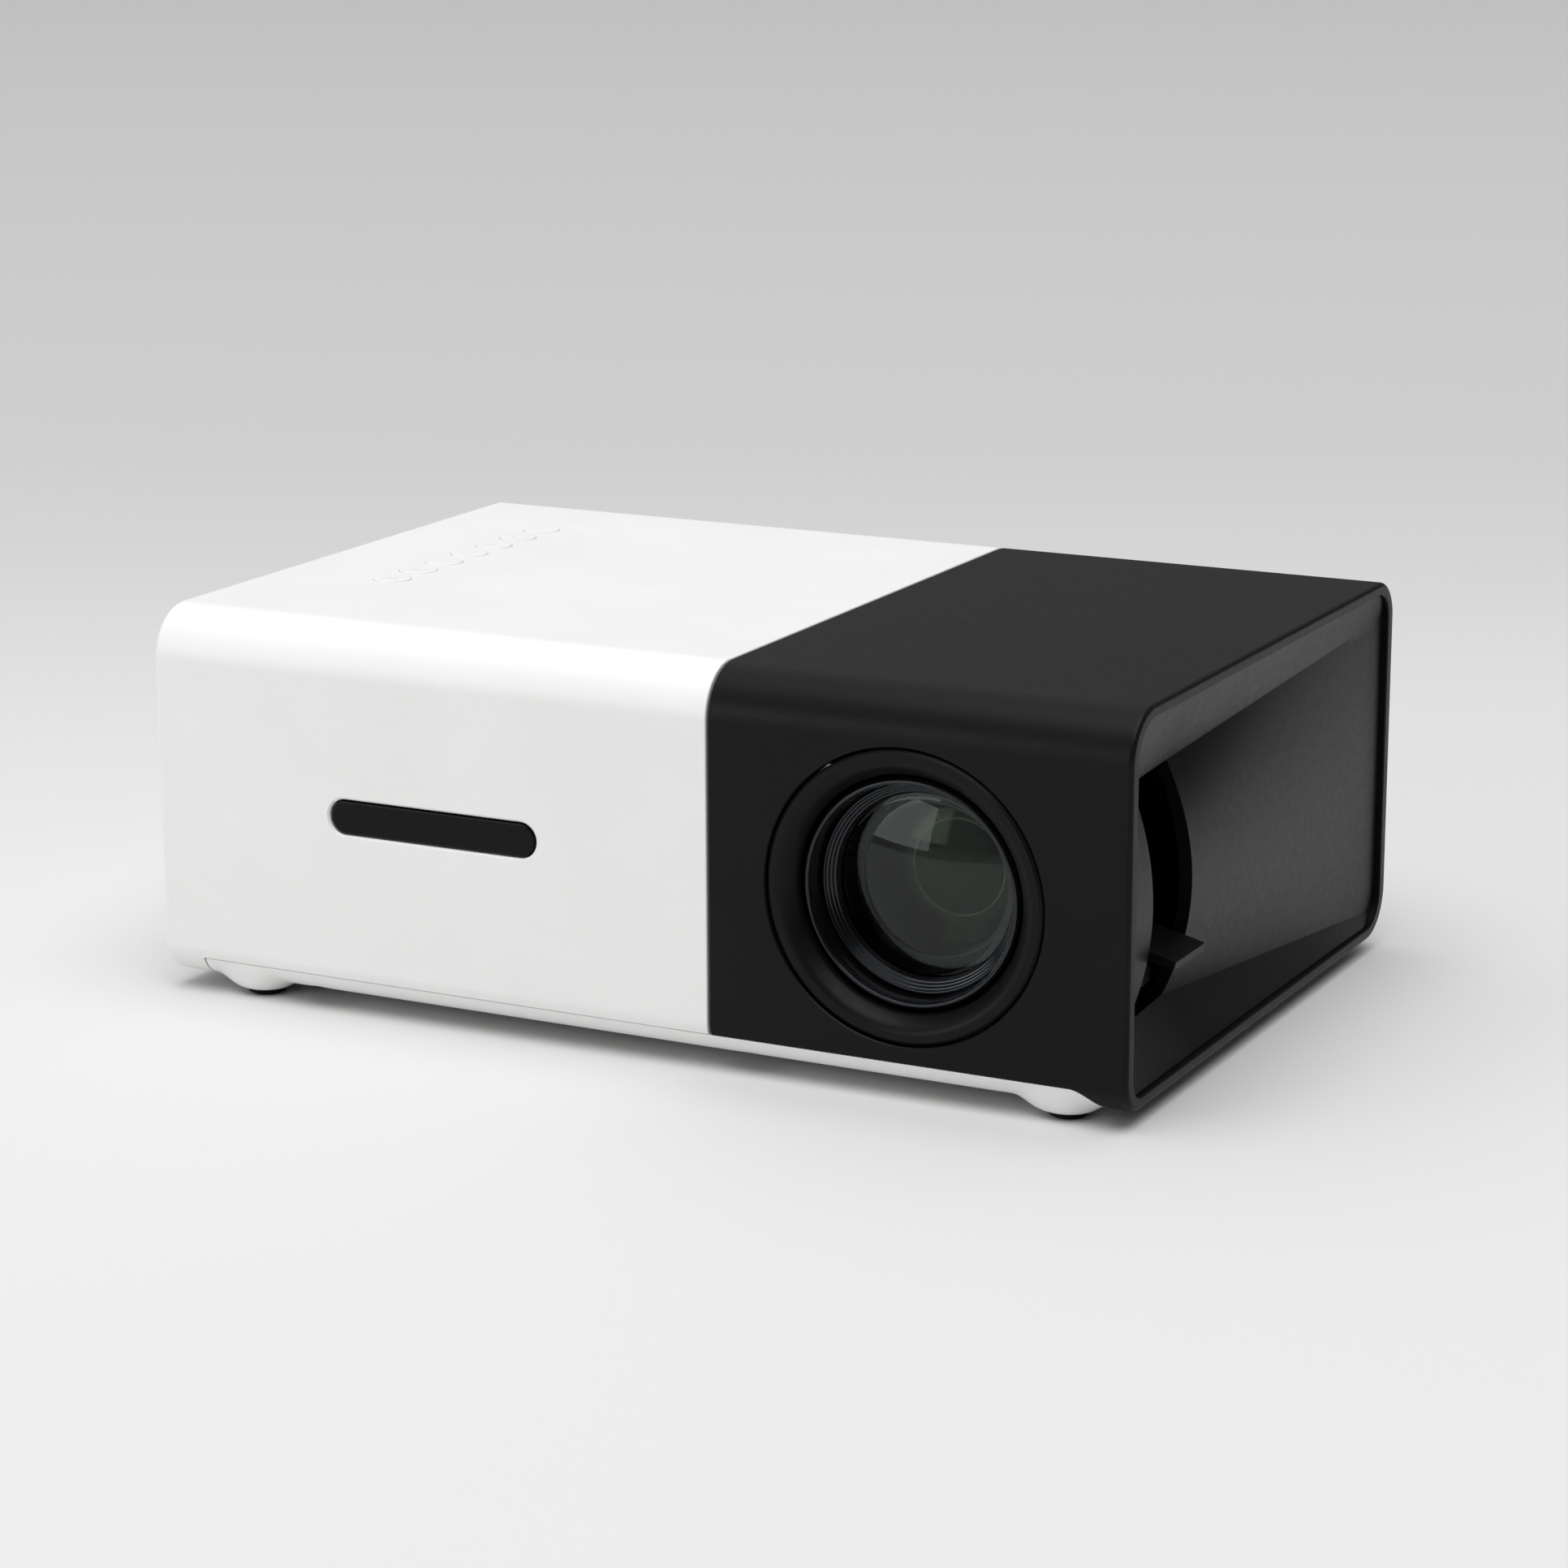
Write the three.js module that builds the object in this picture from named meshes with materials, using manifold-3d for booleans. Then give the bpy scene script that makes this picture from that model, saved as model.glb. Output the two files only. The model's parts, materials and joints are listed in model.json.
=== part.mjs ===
// A small home projector. A white shell and a black lens housing stand side by side on one
// white base. Behind the lens a folded light engine lies inside the black half; the lamp, its
// heat sink, the fan, the boards and the sockets lie inside the white half.
// Millimetres. +X is right, +Y is back, +Z is up. The four foot pads stand on z = 0.
import * as THREE from 'three';
import { mergeVertices } from 'three/addons/utils/BufferGeometryUtils.js';
import Module from 'manifold-3d';

const wasm = await Module();
wasm.setup();

// Body
const LEFT_END = -65.2;
const RIGHT_END = 63.3;
const HALF_DEPTH = 43;
const FLOOR_Z = 2;
const TOP_Z = 48;
const CORNERS = { topFront: 6.2, topRear: 5, bottomRear: 6, bottomFront: 4 };
const WALL = 2;
const END_FILLET = 0.7;
const GAP = 0.3;
const SPLIT_X = 11;
const CLEAR = 90;

// Base plate: its front edge shows as a lip that runs out to a point under the lens housing
const SEAM_Z = 4.6;
const BASE_LEFT = -59.6;
const BASE_SHOULDER = 57.2;
const BASE_TIP = 60.3;
const BASE_TOP = SEAM_Z - GAP;
const FOOT_SPOTS = {
  front_left: [-53.4, -38.2],
  front_right: [54.3, -38.2],
  rear_left: [-53.4, 35],
  rear_right: [54.3, 35],
};
const PAD_RADIUS = 2.4;
const PAD_HEIGHT = 1.6;
const SWELL_Z = 0.7;
const SWELL_REACH = 5.2;
const SWELL_STRETCH = 1.35;
const TRIPOD_SPOT = [2, -14];
const TRIPOD_TOP = 9;
const TRIPOD_BORE = 3.15;

// Lens, on one axis along Y
const LENS_X = 35.7;
const LENS_Z = 24;
const TRIM_RADIUS = 17.1;
const BARREL_RADIUS = 13.5;
const BARREL_FRONT = -41;
const BARREL_REAR = -12;
const HOLDER_RADIUS = 15.2;
const RING_INNER = 15.5;
const RING_OUTER = 17.8;
const RING_FRONT = -33.2;
const RING_REAR = -21.2;
const PIN_Y = -28;
const PIN_RADIUS = 0.9;
const LEVER_REACH = 29.2;
const LEVER_REST = THREE.MathUtils.degToRad(-14.5);
const LEVER_UP = THREE.MathUtils.degToRad(42.5);
const LEVER_DOWN = THREE.MathUtils.degToRad(-13.5);
const LENS_TRAVEL_PER_RADIAN = 4.1;

// Side panel: a scooped face with the focus slot in it
const RIM = 1.5;
const PANEL_THICKNESS = 1.6;
const PANEL_FACE = 63;
const LEDGE_X = 56.2;
const SLOT = { front: -34, rear: -21.6, half: 13.9 };

// Light engine, on one axis along X that meets the lens axis at the fold mirror
const LIGHT_Y = 19;
const BOX = { left: 15.5, right: 53.8, front: -8.2, rear: 34.6, bottom: 6, top: 43.5, wall: 1.5 };

const RIBBON = { x: -9, front: -4.9, rear: -1.2, z: 41.2, thickness: 0.4 };

// Keys
const KEY_X = -49;
const KEY_FIRST_Y = -14;
const KEY_PITCH = 6.2;
const KEY_NAMES = ['power', 'menu', 'back', 'left', 'up', 'down', 'right'];
const KEY_RADIUS = 2.4;
const KEY_PROUD = 0.2;
const KEY_TRAVEL = 0.6;

// Fan, speaker, jacks, board and window
const FAN = { x0: -62.5, x1: -55.5, y: 14.5, z: 25.2, half: 19, bore: 18 };
const SPEAKER = { y: -22, z: 31 };
const JACKS = { power: { y: -28.5, z: 13.2 }, av: { y: -18, z: 11.4 }, headphone: { y: -9, z: 11.4 } };
const BOARD_Z = 6.4;
const BOARD_TOP = 8;
const WINDOW = { x0: -40.2, x1: -12, z: 24.95, radius: 2 };

// Screws: the base's, seen from above, the lens holder's, from the front, and the fan's, off its axis
const SCREW_SPOTS = {
  shell_front: [-44, -38.2],
  shell_rear: [7, 38.2],
  housing_front: [15, -38],
  housing_rear: [42, 38.2],
};
const HOLDER_SCREW_SPOTS = [[20, 38.5], [51.2, 9.3]];
const FAN_SCREW_SPOTS = [[-16.4, -16.4], [16.4, 16.4]];

const plastic = (color, roughness) => new THREE.MeshStandardMaterial({ color, roughness, metalness: 0 });
const metal = (color, roughness) => new THREE.MeshStandardMaterial({ color, roughness, metalness: 1 });
const glassy = (color) => new THREE.MeshStandardMaterial({ color, roughness: 0.05, metalness: 0 });
const FINISH = {
  white: plastic(0xe9eaeb, 0.45),
  black: plastic(0x202123, 0.45),
  innerBlack: plastic(0x17181a, 0.6),
  gloss: plastic(0x0b0b0d, 0.12),
  rubber: plastic(0x1b1b1c, 0.85),
  glass: glassy(0xaab4b8),
  mirror: metal(0xdde2e6, 0.05),
  aluminium: metal(0xb9bcc0, 0.4),
  steel: metal(0x9a9da1, 0.35),
  brass: metal(0xb08d4a, 0.35),
  board: plastic(0x1f5a3a, 0.5),
  led: plastic(0xe9d27a, 0.3),
  ribbon: plastic(0xb87a2a, 0.4),
  cone: plastic(0x2a2a2c, 0.8),
};

const assembly = new THREE.Group();

// Turns a closed three.js geometry into a solid, keeping only its positions.
function toSolid(geometry) {
  const bare = geometry.clone();
  const extras = Object.keys(bare.attributes).filter((key) => key !== 'position');
  extras.forEach((key) => bare.deleteAttribute(key));
  const merged = mergeVertices(bare, 1e-4);
  const corners = merged.index.array;
  const kept = [];
  for (let i = 0; i < corners.length; i += 3) {
    const [a, b, c] = [corners[i], corners[i + 1], corners[i + 2]];
    if (a !== b && b !== c && c !== a) kept.push(a, b, c);
  }
  return new wasm.Manifold(new wasm.Mesh({
    numProp: 3,
    vertProperties: new Float32Array(merged.attributes.position.array),
    triVerts: new Uint32Array(kept),
  }));
}

function toGeometry(solid) {
  const mesh = solid.getMesh();
  const geometry = new THREE.BufferGeometry();
  geometry.setAttribute('position', new THREE.BufferAttribute(mesh.vertProperties, 3));
  geometry.setIndex(new THREE.BufferAttribute(mesh.triVerts, 1));
  return geometry;
}

function place(name, solid, finish) {
  const mesh = new THREE.Mesh(toGeometry(solid), finish);
  mesh.name = name;
  assembly.add(mesh);
}

const joined = (solids) => solids.reduce((whole, piece) => whole.add(piece));
const without = (solid, cuts) => cuts.reduce((rest, cut) => rest.subtract(cut), solid);

function box(x0, x1, y0, y1, z0, z1) {
  const block = new THREE.BoxGeometry(x1 - x0, y1 - y0, z1 - z0);
  return toSolid(block.translate((x0 + x1) / 2, (y0 + y1) / 2, (z0 + z1) / 2));
}

// Revolves a profile of [radius, distance along the axis] points about the named axis through `at`.
function turned(profile, axis, at, segments = 32) {
  const points = profile.map(([radius, along]) => new THREE.Vector2(radius, along));
  if (THREE.ShapeUtils.area(points) < 0) points.reverse();
  if (points.every((point) => point.x > 0)) points.push(points[0].clone());
  const lathe = new THREE.LatheGeometry(points, segments);
  if (axis === 'z') lathe.rotateX(Math.PI / 2);
  if (axis === 'x') lathe.rotateZ(-Math.PI / 2);
  return toSolid(lathe.translate(...at));
}

const rod = (axis, radius, from, to, at, segments = 16) => (
  turned([[0, from], [radius, from], [radius, to], [0, to]], axis, at, segments)
);
const tube = (axis, inner, outer, from, to, at, segments = 32) => (
  turned([[inner, from], [outer, from], [outer, to], [inner, to]], axis, at, segments)
);

// Extrudes a flat shape along an axis. The shape lies in (y, z), (x, z) or (x, y).
function prism(shape, axis, from, to, options = {}) {
  const settings = { depth: to - from, bevelEnabled: false, curveSegments: 4, ...options };
  const extruded = new THREE.ExtrudeGeometry(shape, settings);
  const turn = new THREE.Matrix4();
  if (axis === 'x') {
    turn.makeBasis(new THREE.Vector3(0, 1, 0), new THREE.Vector3(0, 0, 1), new THREE.Vector3(1, 0, 0));
    turn.setPosition(from, 0, 0);
  } else if (axis === 'y') {
    turn.makeBasis(new THREE.Vector3(1, 0, 0), new THREE.Vector3(0, 0, 1), new THREE.Vector3(0, -1, 0));
    turn.setPosition(0, to, 0);
  } else {
    turn.setPosition(0, 0, from);
  }
  return toSolid(extruded.applyMatrix4(turn));
}

const polygon = (points) => new THREE.Shape(points.map(([x, y]) => new THREE.Vector2(x, y)));

function pill(x0, x1, z, radius) {
  const shape = new THREE.Shape();
  shape.absarc(x1 - radius, z, radius, -Math.PI / 2, Math.PI / 2);
  shape.absarc(x0 + radius, z, radius, Math.PI / 2, 1.5 * Math.PI);
  return shape;
}

// The body's outline seen from the end, shrunk by an inset above and below and one fore and aft.
function outline(inset, depthInset = inset) {
  const [y0, y1] = [-HALF_DEPTH + depthInset, HALF_DEPTH - depthInset];
  const [z0, z1] = [FLOOR_Z + inset, TOP_Z - inset];
  const quarter = Math.PI / 2;
  const shape = new THREE.Shape();
  const corner = (radius, y, z, start) => {
    const r = radius - inset;
    shape.absarc(y - Math.sign(y) * r, z - Math.sign(z - LENS_Z) * r, r, start, start + quarter);
  };
  corner(CORNERS.bottomRear, y1, z0, -quarter);
  corner(CORNERS.topRear, y1, z1, 0);
  corner(CORNERS.topFront, y0, z1, quarter);
  corner(CORNERS.bottomFront, y0, z0, 2 * quarter);
  return shape;
}

function bodyBlock() {
  return prism(outline(0), 'x', LEFT_END + END_FILLET, RIGHT_END - END_FILLET, {
    bevelEnabled: true,
    bevelThickness: END_FILLET,
    bevelSize: END_FILLET,
    bevelOffset: -END_FILLET,
    bevelSegments: 1,
  });
}

const lensAt = [LENS_X, 0, LENS_Z];
const aboutLens = (solid, angle) => {
  const sine = Math.sin(angle);
  const cosine = Math.cos(angle);
  const shifted = solid.translate([-LENS_X, 0, -LENS_Z]);
  const turn = [cosine, 0, sine, 0, 0, 1, 0, 0, -sine, 0, cosine, 0, 0, 0, 0, 1];
  return shifted.transform(turn).translate([LENS_X, 0, LENS_Z]);
};

// The region under the shells that the base fills, drawn from the front.
function baseRegion(left, top, shoulder, tip) {
  const drawn = polygon([[left, -1], [tip, -1], [tip, FLOOR_Z], [shoulder, top], [left, top]]);
  return prism(drawn, 'y', -CLEAR, CLEAR);
}

// Adds the blind screw bosses that the base is screwed to.
function withBosses(walls, spots) {
  const bosses = spots.map(([x, y]) => rod('z', 3.1, SEAM_Z, 11.5, [x, y, 0], 14));
  const bores = spots.map(([x, y]) => rod('z', 1.5, SEAM_Z - 1, 10.5, [x, y, 0], 10));
  return without(joined([walls, ...bosses]), bores);
}

// Where a cut along X starts and stops to pass through the left end wall.
const THROUGH_END = [LEFT_END - 1, LEFT_END + WALL + 0.5];

function endVents() {
  return Array.from({ length: 9 }, (unused, i) => {
    const y = FAN.y - 16 + 4 * i;
    return box(...THROUGH_END, y - 0.9, y + 0.9, 12, 38);
  });
}

function speakerHoles() {
  const holes = [];
  for (let row = -1; row <= 1; row += 1) {
    const count = 5 - Math.abs(row);
    for (let i = 0; i < count; i += 1) {
      const y = SPEAKER.y + (i - (count - 1) / 2) * 4.2;
      holes.push(rod('x', 1, ...THROUGH_END, [0, y, SPEAKER.z + row * 3.6], 6));
    }
  }
  return holes;
}

function keyY(index) {
  return KEY_FIRST_Y + KEY_PITCH * index;
}

function whiteShell() {
  const hollow = prism(outline(WALL), 'x', LEFT_END + WALL, CLEAR);
  const rightHalf = box(SPLIT_X - GAP / 2, CLEAR, -CLEAR, CLEAR, -1, CLEAR);
  const keyHoles = KEY_NAMES.map((unused, i) => (
    rod('z', KEY_RADIUS + 0.25, 40, CLEAR, [KEY_X, keyY(i), 0], 14)
  ));
  const { x0, x1, z, radius } = WINDOW;
  const windowHole = prism(pill(x0 - GAP, x1 + GAP, z, radius + GAP), 'y', -50, -39);
  const rearHoles = [
    box(-45.4, -29.6, 39, 50, 8, 14.6),
    box(-27.4, -13.4, 39, 50, 8, 15.7),
    box(-11.4, 1.4, 39, 50, 8, 10.9),
  ];
  const jackHoles = [
    rod('x', 4.6, ...THROUGH_END, [0, JACKS.power.y, JACKS.power.z], 20),
    rod('x', 3.1, ...THROUGH_END, [0, JACKS.av.y, JACKS.av.z], 20),
    rod('x', 3.1, ...THROUGH_END, [0, JACKS.headphone.y, JACKS.headphone.z], 20),
  ];
  const walls = without(bodyBlock(), [
    hollow, rightHalf, baseRegion(BASE_LEFT, SEAM_Z, CLEAR - 1, CLEAR), windowHole,
    ...keyHoles, ...rearHoles, ...jackHoles, ...endVents(), ...speakerHoles(),
  ]);
  return withBosses(walls, [SCREW_SPOTS.shell_front, SCREW_SPOTS.shell_rear]);
}

function lensHousing() {
  const leftHalf = box(-CLEAR, SPLIT_X + GAP / 2, -CLEAR, CLEAR, -1, CLEAR);
  const hollow = prism(outline(WALL), 'x', 0, LEDGE_X - 2);
  const ledge = prism(outline(WALL + 0.9), 'x', LEDGE_X - 3, LEDGE_X + 1);
  const mouth = prism(outline(RIM, RIM + 0.4), 'x', LEDGE_X, CLEAR);
  const lensHole = rod('y', TRIM_RADIUS + 0.35, -50, -39, lensAt, 36);
  const walls = without(bodyBlock(), [
    leftHalf, hollow, ledge, mouth, lensHole, baseRegion(-CLEAR, SEAM_Z, BASE_SHOULDER, BASE_TIP),
  ]);
  return withBosses(walls, [SCREW_SPOTS.housing_front, SCREW_SPOTS.housing_rear]);
}

// Height of the body's underside, which curves up towards the front face.
function undersideZ(y) {
  const radius = CORNERS.bottomFront;
  const past = Math.max(0, radius - HALF_DEPTH - y);
  return FLOOR_Z + radius - Math.sqrt(radius * radius - past * past);
}

// The underside swells smoothly down to the foot pad, from further away on the left.
function footSwell([footX, footY]) {
  const cells = 14;
  const block = new THREE.BoxGeometry(2, 2, 1, cells, cells, 1);
  const position = block.attributes.position;
  const frontMost = -HALF_DEPTH + 0.5;
  for (let i = 0; i < position.count; i += 1) {
    const dx = position.getX(i) * SWELL_REACH;
    const y = Math.max(footY + position.getY(i) * SWELL_REACH, frontMost);
    const away = Math.hypot(dx, y - footY);
    const drop = 1 - THREE.MathUtils.smoothstep(away, PAD_RADIUS + GAP, SWELL_REACH);
    const surface = undersideZ(y) + 0.05;
    const lower = surface - (surface - SWELL_Z) * drop;
    const x = footX + dx * (dx < 0 ? SWELL_STRETCH : 1);
    position.setXYZ(i, x, y, position.getZ(i) > 0 ? surface + 1 : lower);
  }
  return toSolid(block);
}

function footPocket([x, y]) {
  return rod('z', PAD_RADIUS + GAP, -1, PAD_HEIGHT + GAP, [x, y, 0], 18);
}

function intakeVents() {
  return Array.from({ length: 8 }, (unused, i) => {
    const x = -46 + 4 * i;
    return box(x - 1, x + 1, 6, 30, -1, 10);
  });
}

function basePlate() {
  const [tx, ty] = TRIPOD_SPOT;
  const region = baseRegion(BASE_LEFT + GAP, BASE_TOP, BASE_SHOULDER - 0.2, BASE_TIP - 0.6);
  const plate = bodyBlock().intersect(region);
  const swells = Object.values(FOOT_SPOTS).map((spot) => footSwell(spot).intersect(region));
  const tripodBoss = rod('z', 7.2, FLOOR_Z + 0.5, TRIPOD_TOP + 2, [tx, ty, 0], 20);
  const boardPosts = [[-40, -26], [-8, 24]].map(([x, y]) => (
    rod('z', 2.6, 4, BOARD_Z - GAP, [x, y, 0], 14)
  ));
  const fanRail = box(BASE_LEFT + GAP, FAN.x1, FAN.y - 15, FAN.y + 15, 4, FAN.z - FAN.half - GAP);
  const boxRails = [20, 48].map((x) => box(x, x + 3, -4, 32, 4, BOX.bottom - GAP));
  const condenserRail = box(5, 11, LIGHT_Y - 9, LIGHT_Y + 9, 4, 4.9);
  const screwHoles = Object.values(SCREW_SPOTS).flatMap(([x, y]) => [
    rod('z', 1.5, -1, 10, [x, y, 0], 10),
    rod('z', 2.85, -1, 3.6, [x, y, 0], 14),
  ]);
  return without(joined([plate, ...swells, tripodBoss, ...boardPosts, fanRail, ...boxRails, condenserRail]), [
    ...Object.values(FOOT_SPOTS).map(footPocket),
    rod('z', 4.9, -1, TRIPOD_TOP + GAP, [tx, ty, 0], 24),
    ...screwHoles,
    ...intakeVents(),
  ]);
}

function tripodInsert() {
  const [x, y] = TRIPOD_SPOT;
  const sleeve = tube('z', TRIPOD_BORE, 4.6, FLOOR_Z + 0.2, TRIPOD_TOP - 1.2, [x, y, 0], 24);
  return sleeve.add(rod('z', 4.6, TRIPOD_TOP - 1.3, TRIPOD_TOP, [x, y, 0], 24));
}

// Half height of the scoop's convex middle, and its depth at the crease and on the centre line.
function scoopAt(y) {
  const back = THREE.MathUtils.clamp((y - SLOT.rear) / (41 - SLOT.rear), 0, 1);
  const front = THREE.MathUtils.clamp((SLOT.rear - y) / (SLOT.rear - SLOT.front), 0, 1.5);
  return {
    half: SLOT.half + 5.1 * back,
    crease: 58.6 + 3.9 * back + 0.8 * front,
    middle: 62.1 + 0.45 * back + 0.25 * front,
  };
}

// Everything to the left of the scooped face, moved inwards by an offset.
function behindFace(offset) {
  const stations = [-42, -34, SLOT.rear, 8, 42];
  const arcSteps = 10;
  const zSteps = arcSteps + 2;
  const block = new THREE.BoxGeometry(1, 1, 1, 1, stations.length - 1, zSteps);
  const position = block.attributes.position;
  for (let i = 0; i < position.count; i += 1) {
    const y = stations[Math.round((position.getY(i) + 0.5) * (stations.length - 1))];
    const step = Math.round((position.getZ(i) + 0.5) * zSteps);
    const { half, crease, middle } = scoopAt(y);
    const across = THREE.MathUtils.clamp((step - 1) / arcSteps, 0, 1) * 2 - 1;
    const onRim = step === 0 || step === zSteps;
    const rise = onRim ? 22.6 * Math.sign(step - 1) : half * across;
    const face = onRim ? PANEL_FACE : crease + (middle - crease) * (1 - across * across);
    position.setXYZ(i, position.getX(i) > 0 ? face - offset : 50, y, LENS_Z + 1.1 * onRim + rise);
  }
  return toSolid(block);
}

function sidePanel() {
  const edge = outline(RIM + GAP, RIM + 0.4 + GAP);
  const skin = behindFace(0).subtract(behindFace(PANEL_THICKNESS));
  const skirt = prism(edge, 'x', LEDGE_X + 0.7, CLEAR)
    .subtract(prism(outline(RIM + GAP + 1.2, RIM + 0.4 + GAP + 1.2), 'x', 50, CLEAR))
    .intersect(behindFace(0));
  const slot = box(50, 70, SLOT.front, SLOT.rear, LENS_Z - SLOT.half, LENS_Z + SLOT.half);
  const baseTip = baseRegion(-CLEAR, SEAM_Z, BASE_SHOULDER, BASE_TIP);
  return without(skin.intersect(prism(edge, 'x', 50, CLEAR)).add(skirt), [slot, baseTip]);
}

// Rounded front face round the lens, with a short sleeve behind that fits the housing's hole.
function trimRing() {
  return turned([
    [13.95, -40.3], [13.95, -41.2], [14.8, -42.5], [15.8, -42.95], [16.7, -42.95],
    [TRIM_RADIUS, -42.6], [TRIM_RADIUS, -36], [15.9, -36], [15.9, -40.3],
  ], 'y', lensAt, 36);
}

function lensBarrel() {
  const profile = [
    [BARREL_RADIUS, -40.8], [BARREL_RADIUS, BARREL_REAR], [10.6, BARREL_REAR], [10.6, -18.5], [9, -18.5],
    [9, -26.3], [5.65, -26.3], [5.65, -27.5], [8.95, -27.5], [8.95, -34.1], [12.6, -34.1],
    [12.6, -40.8], [12.85, BARREL_FRONT], [13.25, BARREL_FRONT],
  ];
  return turned(profile, 'y', lensAt).subtract(rod('z', 1.2, 12, 20, [LENS_X, PIN_Y, LENS_Z], 10));
}

function retainingRing() {
  return turned([[10.8, -36.5], [12.3, -36.5], [12.3, -38.3], [12, -38.3]], 'y', lensAt);
}

// A lens element: domed towards the front and the rear by the given heights, with a plain edge.
function element(radius, front, rear, frontDome, rearDome) {
  const steps = 3;
  const dome = (level, height) => Array.from({ length: steps }, (unused, i) => {
    const t = i / steps;
    return [radius * t, level + height * (1 - t * t)];
  });
  const profile = [
    ...dome(front, -frontDome), [radius, front], [radius, rear], ...dome(rear, rearDome).reverse(),
  ];
  return turned(profile, 'y', lensAt, 24);
}

function frontElement() {
  return element(10.5, -36.2, -34.6, 2.1, 0).add(tube('y', 10, 12.2, -36.2, -34.5, lensAt, 24));
}

// The ring's lever pokes through the slot; the slanted slot in the ring drives the barrel's pin.
function focusRing() {
  const ring = tube('y', RING_INNER, RING_OUTER, RING_FRONT, RING_REAR, lensAt);
  const middle = (LEVER_UP + LEVER_DOWN) / 2;
  const meanRadius = (RING_INNER + RING_OUTER) / 2;
  const slant = Math.atan(LENS_TRAVEL_PER_RADIAN / meanRadius);
  const halfSweep = (LEVER_UP - LEVER_DOWN) / 2;
  const halfLength = (meanRadius * Math.sin(halfSweep)) / Math.cos(slant) + PIN_RADIUS + 0.5;
  const cutter = new THREE.BoxGeometry(2 * halfLength, 2 * PIN_RADIUS + 0.7, 12);
  cutter.rotateZ(slant);
  cutter.translate(LENS_X, PIN_Y + LENS_TRAVEL_PER_RADIAN * middle, LENS_Z + 15);
  const pinSlot = aboutLens(toSolid(cutter), -middle);
  const arm = box(LENS_X + 16.6, LENS_X + LEVER_REACH, -31.2, -22.3, LENS_Z - 0.6, LENS_Z + 0.6);
  return ring.subtract(pinSlot).add(aboutLens(arm, LEVER_REST));
}

function camPin() {
  return rod('z', PIN_RADIUS, 12.4, 17.6, [LENS_X, PIN_Y, LENS_Z], 12);
}

function lensHolder() {
  const slotFront = PIN_Y + LENS_TRAVEL_PER_RADIAN * LEVER_DOWN - PIN_RADIUS - 0.5;
  const slotRear = PIN_Y + LENS_TRAVEL_PER_RADIAN * LEVER_UP + PIN_RADIUS + 0.5;
  const sleeve = tube('y', BARREL_RADIUS + 0.35, HOLDER_RADIUS, -34, -9, lensAt);
  const collar = tube('y', HOLDER_RADIUS - 0.3, RING_OUTER, -20.8, -9, lensAt);
  const flange = box(BOX.left + 2, BOX.right, -10.5, -8.5, 6.6, 41.4);
  const bore = rod('y', BARREL_RADIUS + 0.35, -50, 0, lensAt, 32);
  const holes = HOLDER_SCREW_SPOTS.map(([x, z]) => rod('y', 1.4, -20, 0, [x, 0, z], 10));
  const pinSlot = box(LENS_X - 1.25, LENS_X + 1.25, slotFront, slotRear, LENS_Z + 8, LENS_Z + 20);
  return without(joined([sleeve, collar, flange]), [bore, pinSlot, ...holes]);
}

function lightBox() {
  const { left, right, front, rear, bottom, top, wall } = BOX;
  const inside = box(left + wall, right - wall, front + 3, rear - wall, bottom + wall, CLEAR);
  const lensWindow = box(LENS_X - 15, LENS_X + 15, front - 1, front + 4, LENS_Z - 11.5, LENS_Z + 11.5);
  const lampWindow = box(left - 1, left + wall + 1, LIGHT_Y - 13, LIGHT_Y + 13, LENS_Z - 14, LENS_Z + 14);
  const holes = HOLDER_SCREW_SPOTS.map(([x, z]) => rod('y', 1.4, front - 1, front + 2.4, [x, 0, z], 10));
  const [slitFront, slitRear] = [RIBBON.front - GAP, RIBBON.rear + GAP];
  const ribbonSlit = box(left - 1, left + wall + 1, slitFront, slitRear, RIBBON.z - 0.4, top + 1);
  const block = box(left, right, front, rear, bottom, top);
  return without(block, [inside, lensWindow, lampWindow, ribbonSlit, ...holes]);
}

function lightBoxLid() {
  const { left, right, front, rear, top } = BOX;
  return box(left, right, front, rear, top + GAP, top + 1.3);
}

function foldMirror() {
  const sheet = new THREE.BoxGeometry(35, 1.6, 30);
  sheet.rotateZ(-Math.PI / 4);
  return toSolid(sheet.translate(LENS_X + 0.6, LIGHT_Y + 0.6, LENS_Z));
}

function condenserLens() {
  const dome = [[0, 12], [4, 11.7], [8, 10.7], [11.5, 9], [14.2, 6.6], [14.2, 4.5], [0, 4.5]];
  return turned(dome, 'x', [0, LIGHT_Y, LENS_Z], 24);
}

function condenserMount() {
  const ring = tube('x', 14.5, 16, 4, 12.3, [0, LIGHT_Y, LENS_Z], 24);
  const foot = box(5.5, 10.5, LIGHT_Y - 8, LIGHT_Y + 8, 4.9 + GAP, 10.4);
  return ring.add(foot).subtract(rod('x', 14.5, 0, 20, [0, LIGHT_Y, LENS_Z], 24));
}

function heatSink() {
  const fins = 8;
  const pitch = 4.3;
  const thickness = 1.3;
  const back = box(-19, -16, LIGHT_Y - 16, LIGHT_Y + 16, 15.6, 41);
  const blades = Array.from({ length: fins }, (unused, i) => {
    const y = LIGHT_Y - 15.6 + pitch * i;
    return box(-42, -18, y, y + thickness, 15.6, 41);
  });
  return joined([back, ...blades]);
}

function ledEmitter() {
  const body = box(-13.9, -12.6, LIGHT_Y - 4, LIGHT_Y + 4, LENS_Z - 4, LENS_Z + 4);
  const dome = [[0, -12.8], [3, -12.8], [3, -12.2], [2.4, -11], [1.3, -10.2], [0, -9.9]];
  return body.add(turned(dome, 'x', [0, LIGHT_Y, LENS_Z], 12));
}

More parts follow.
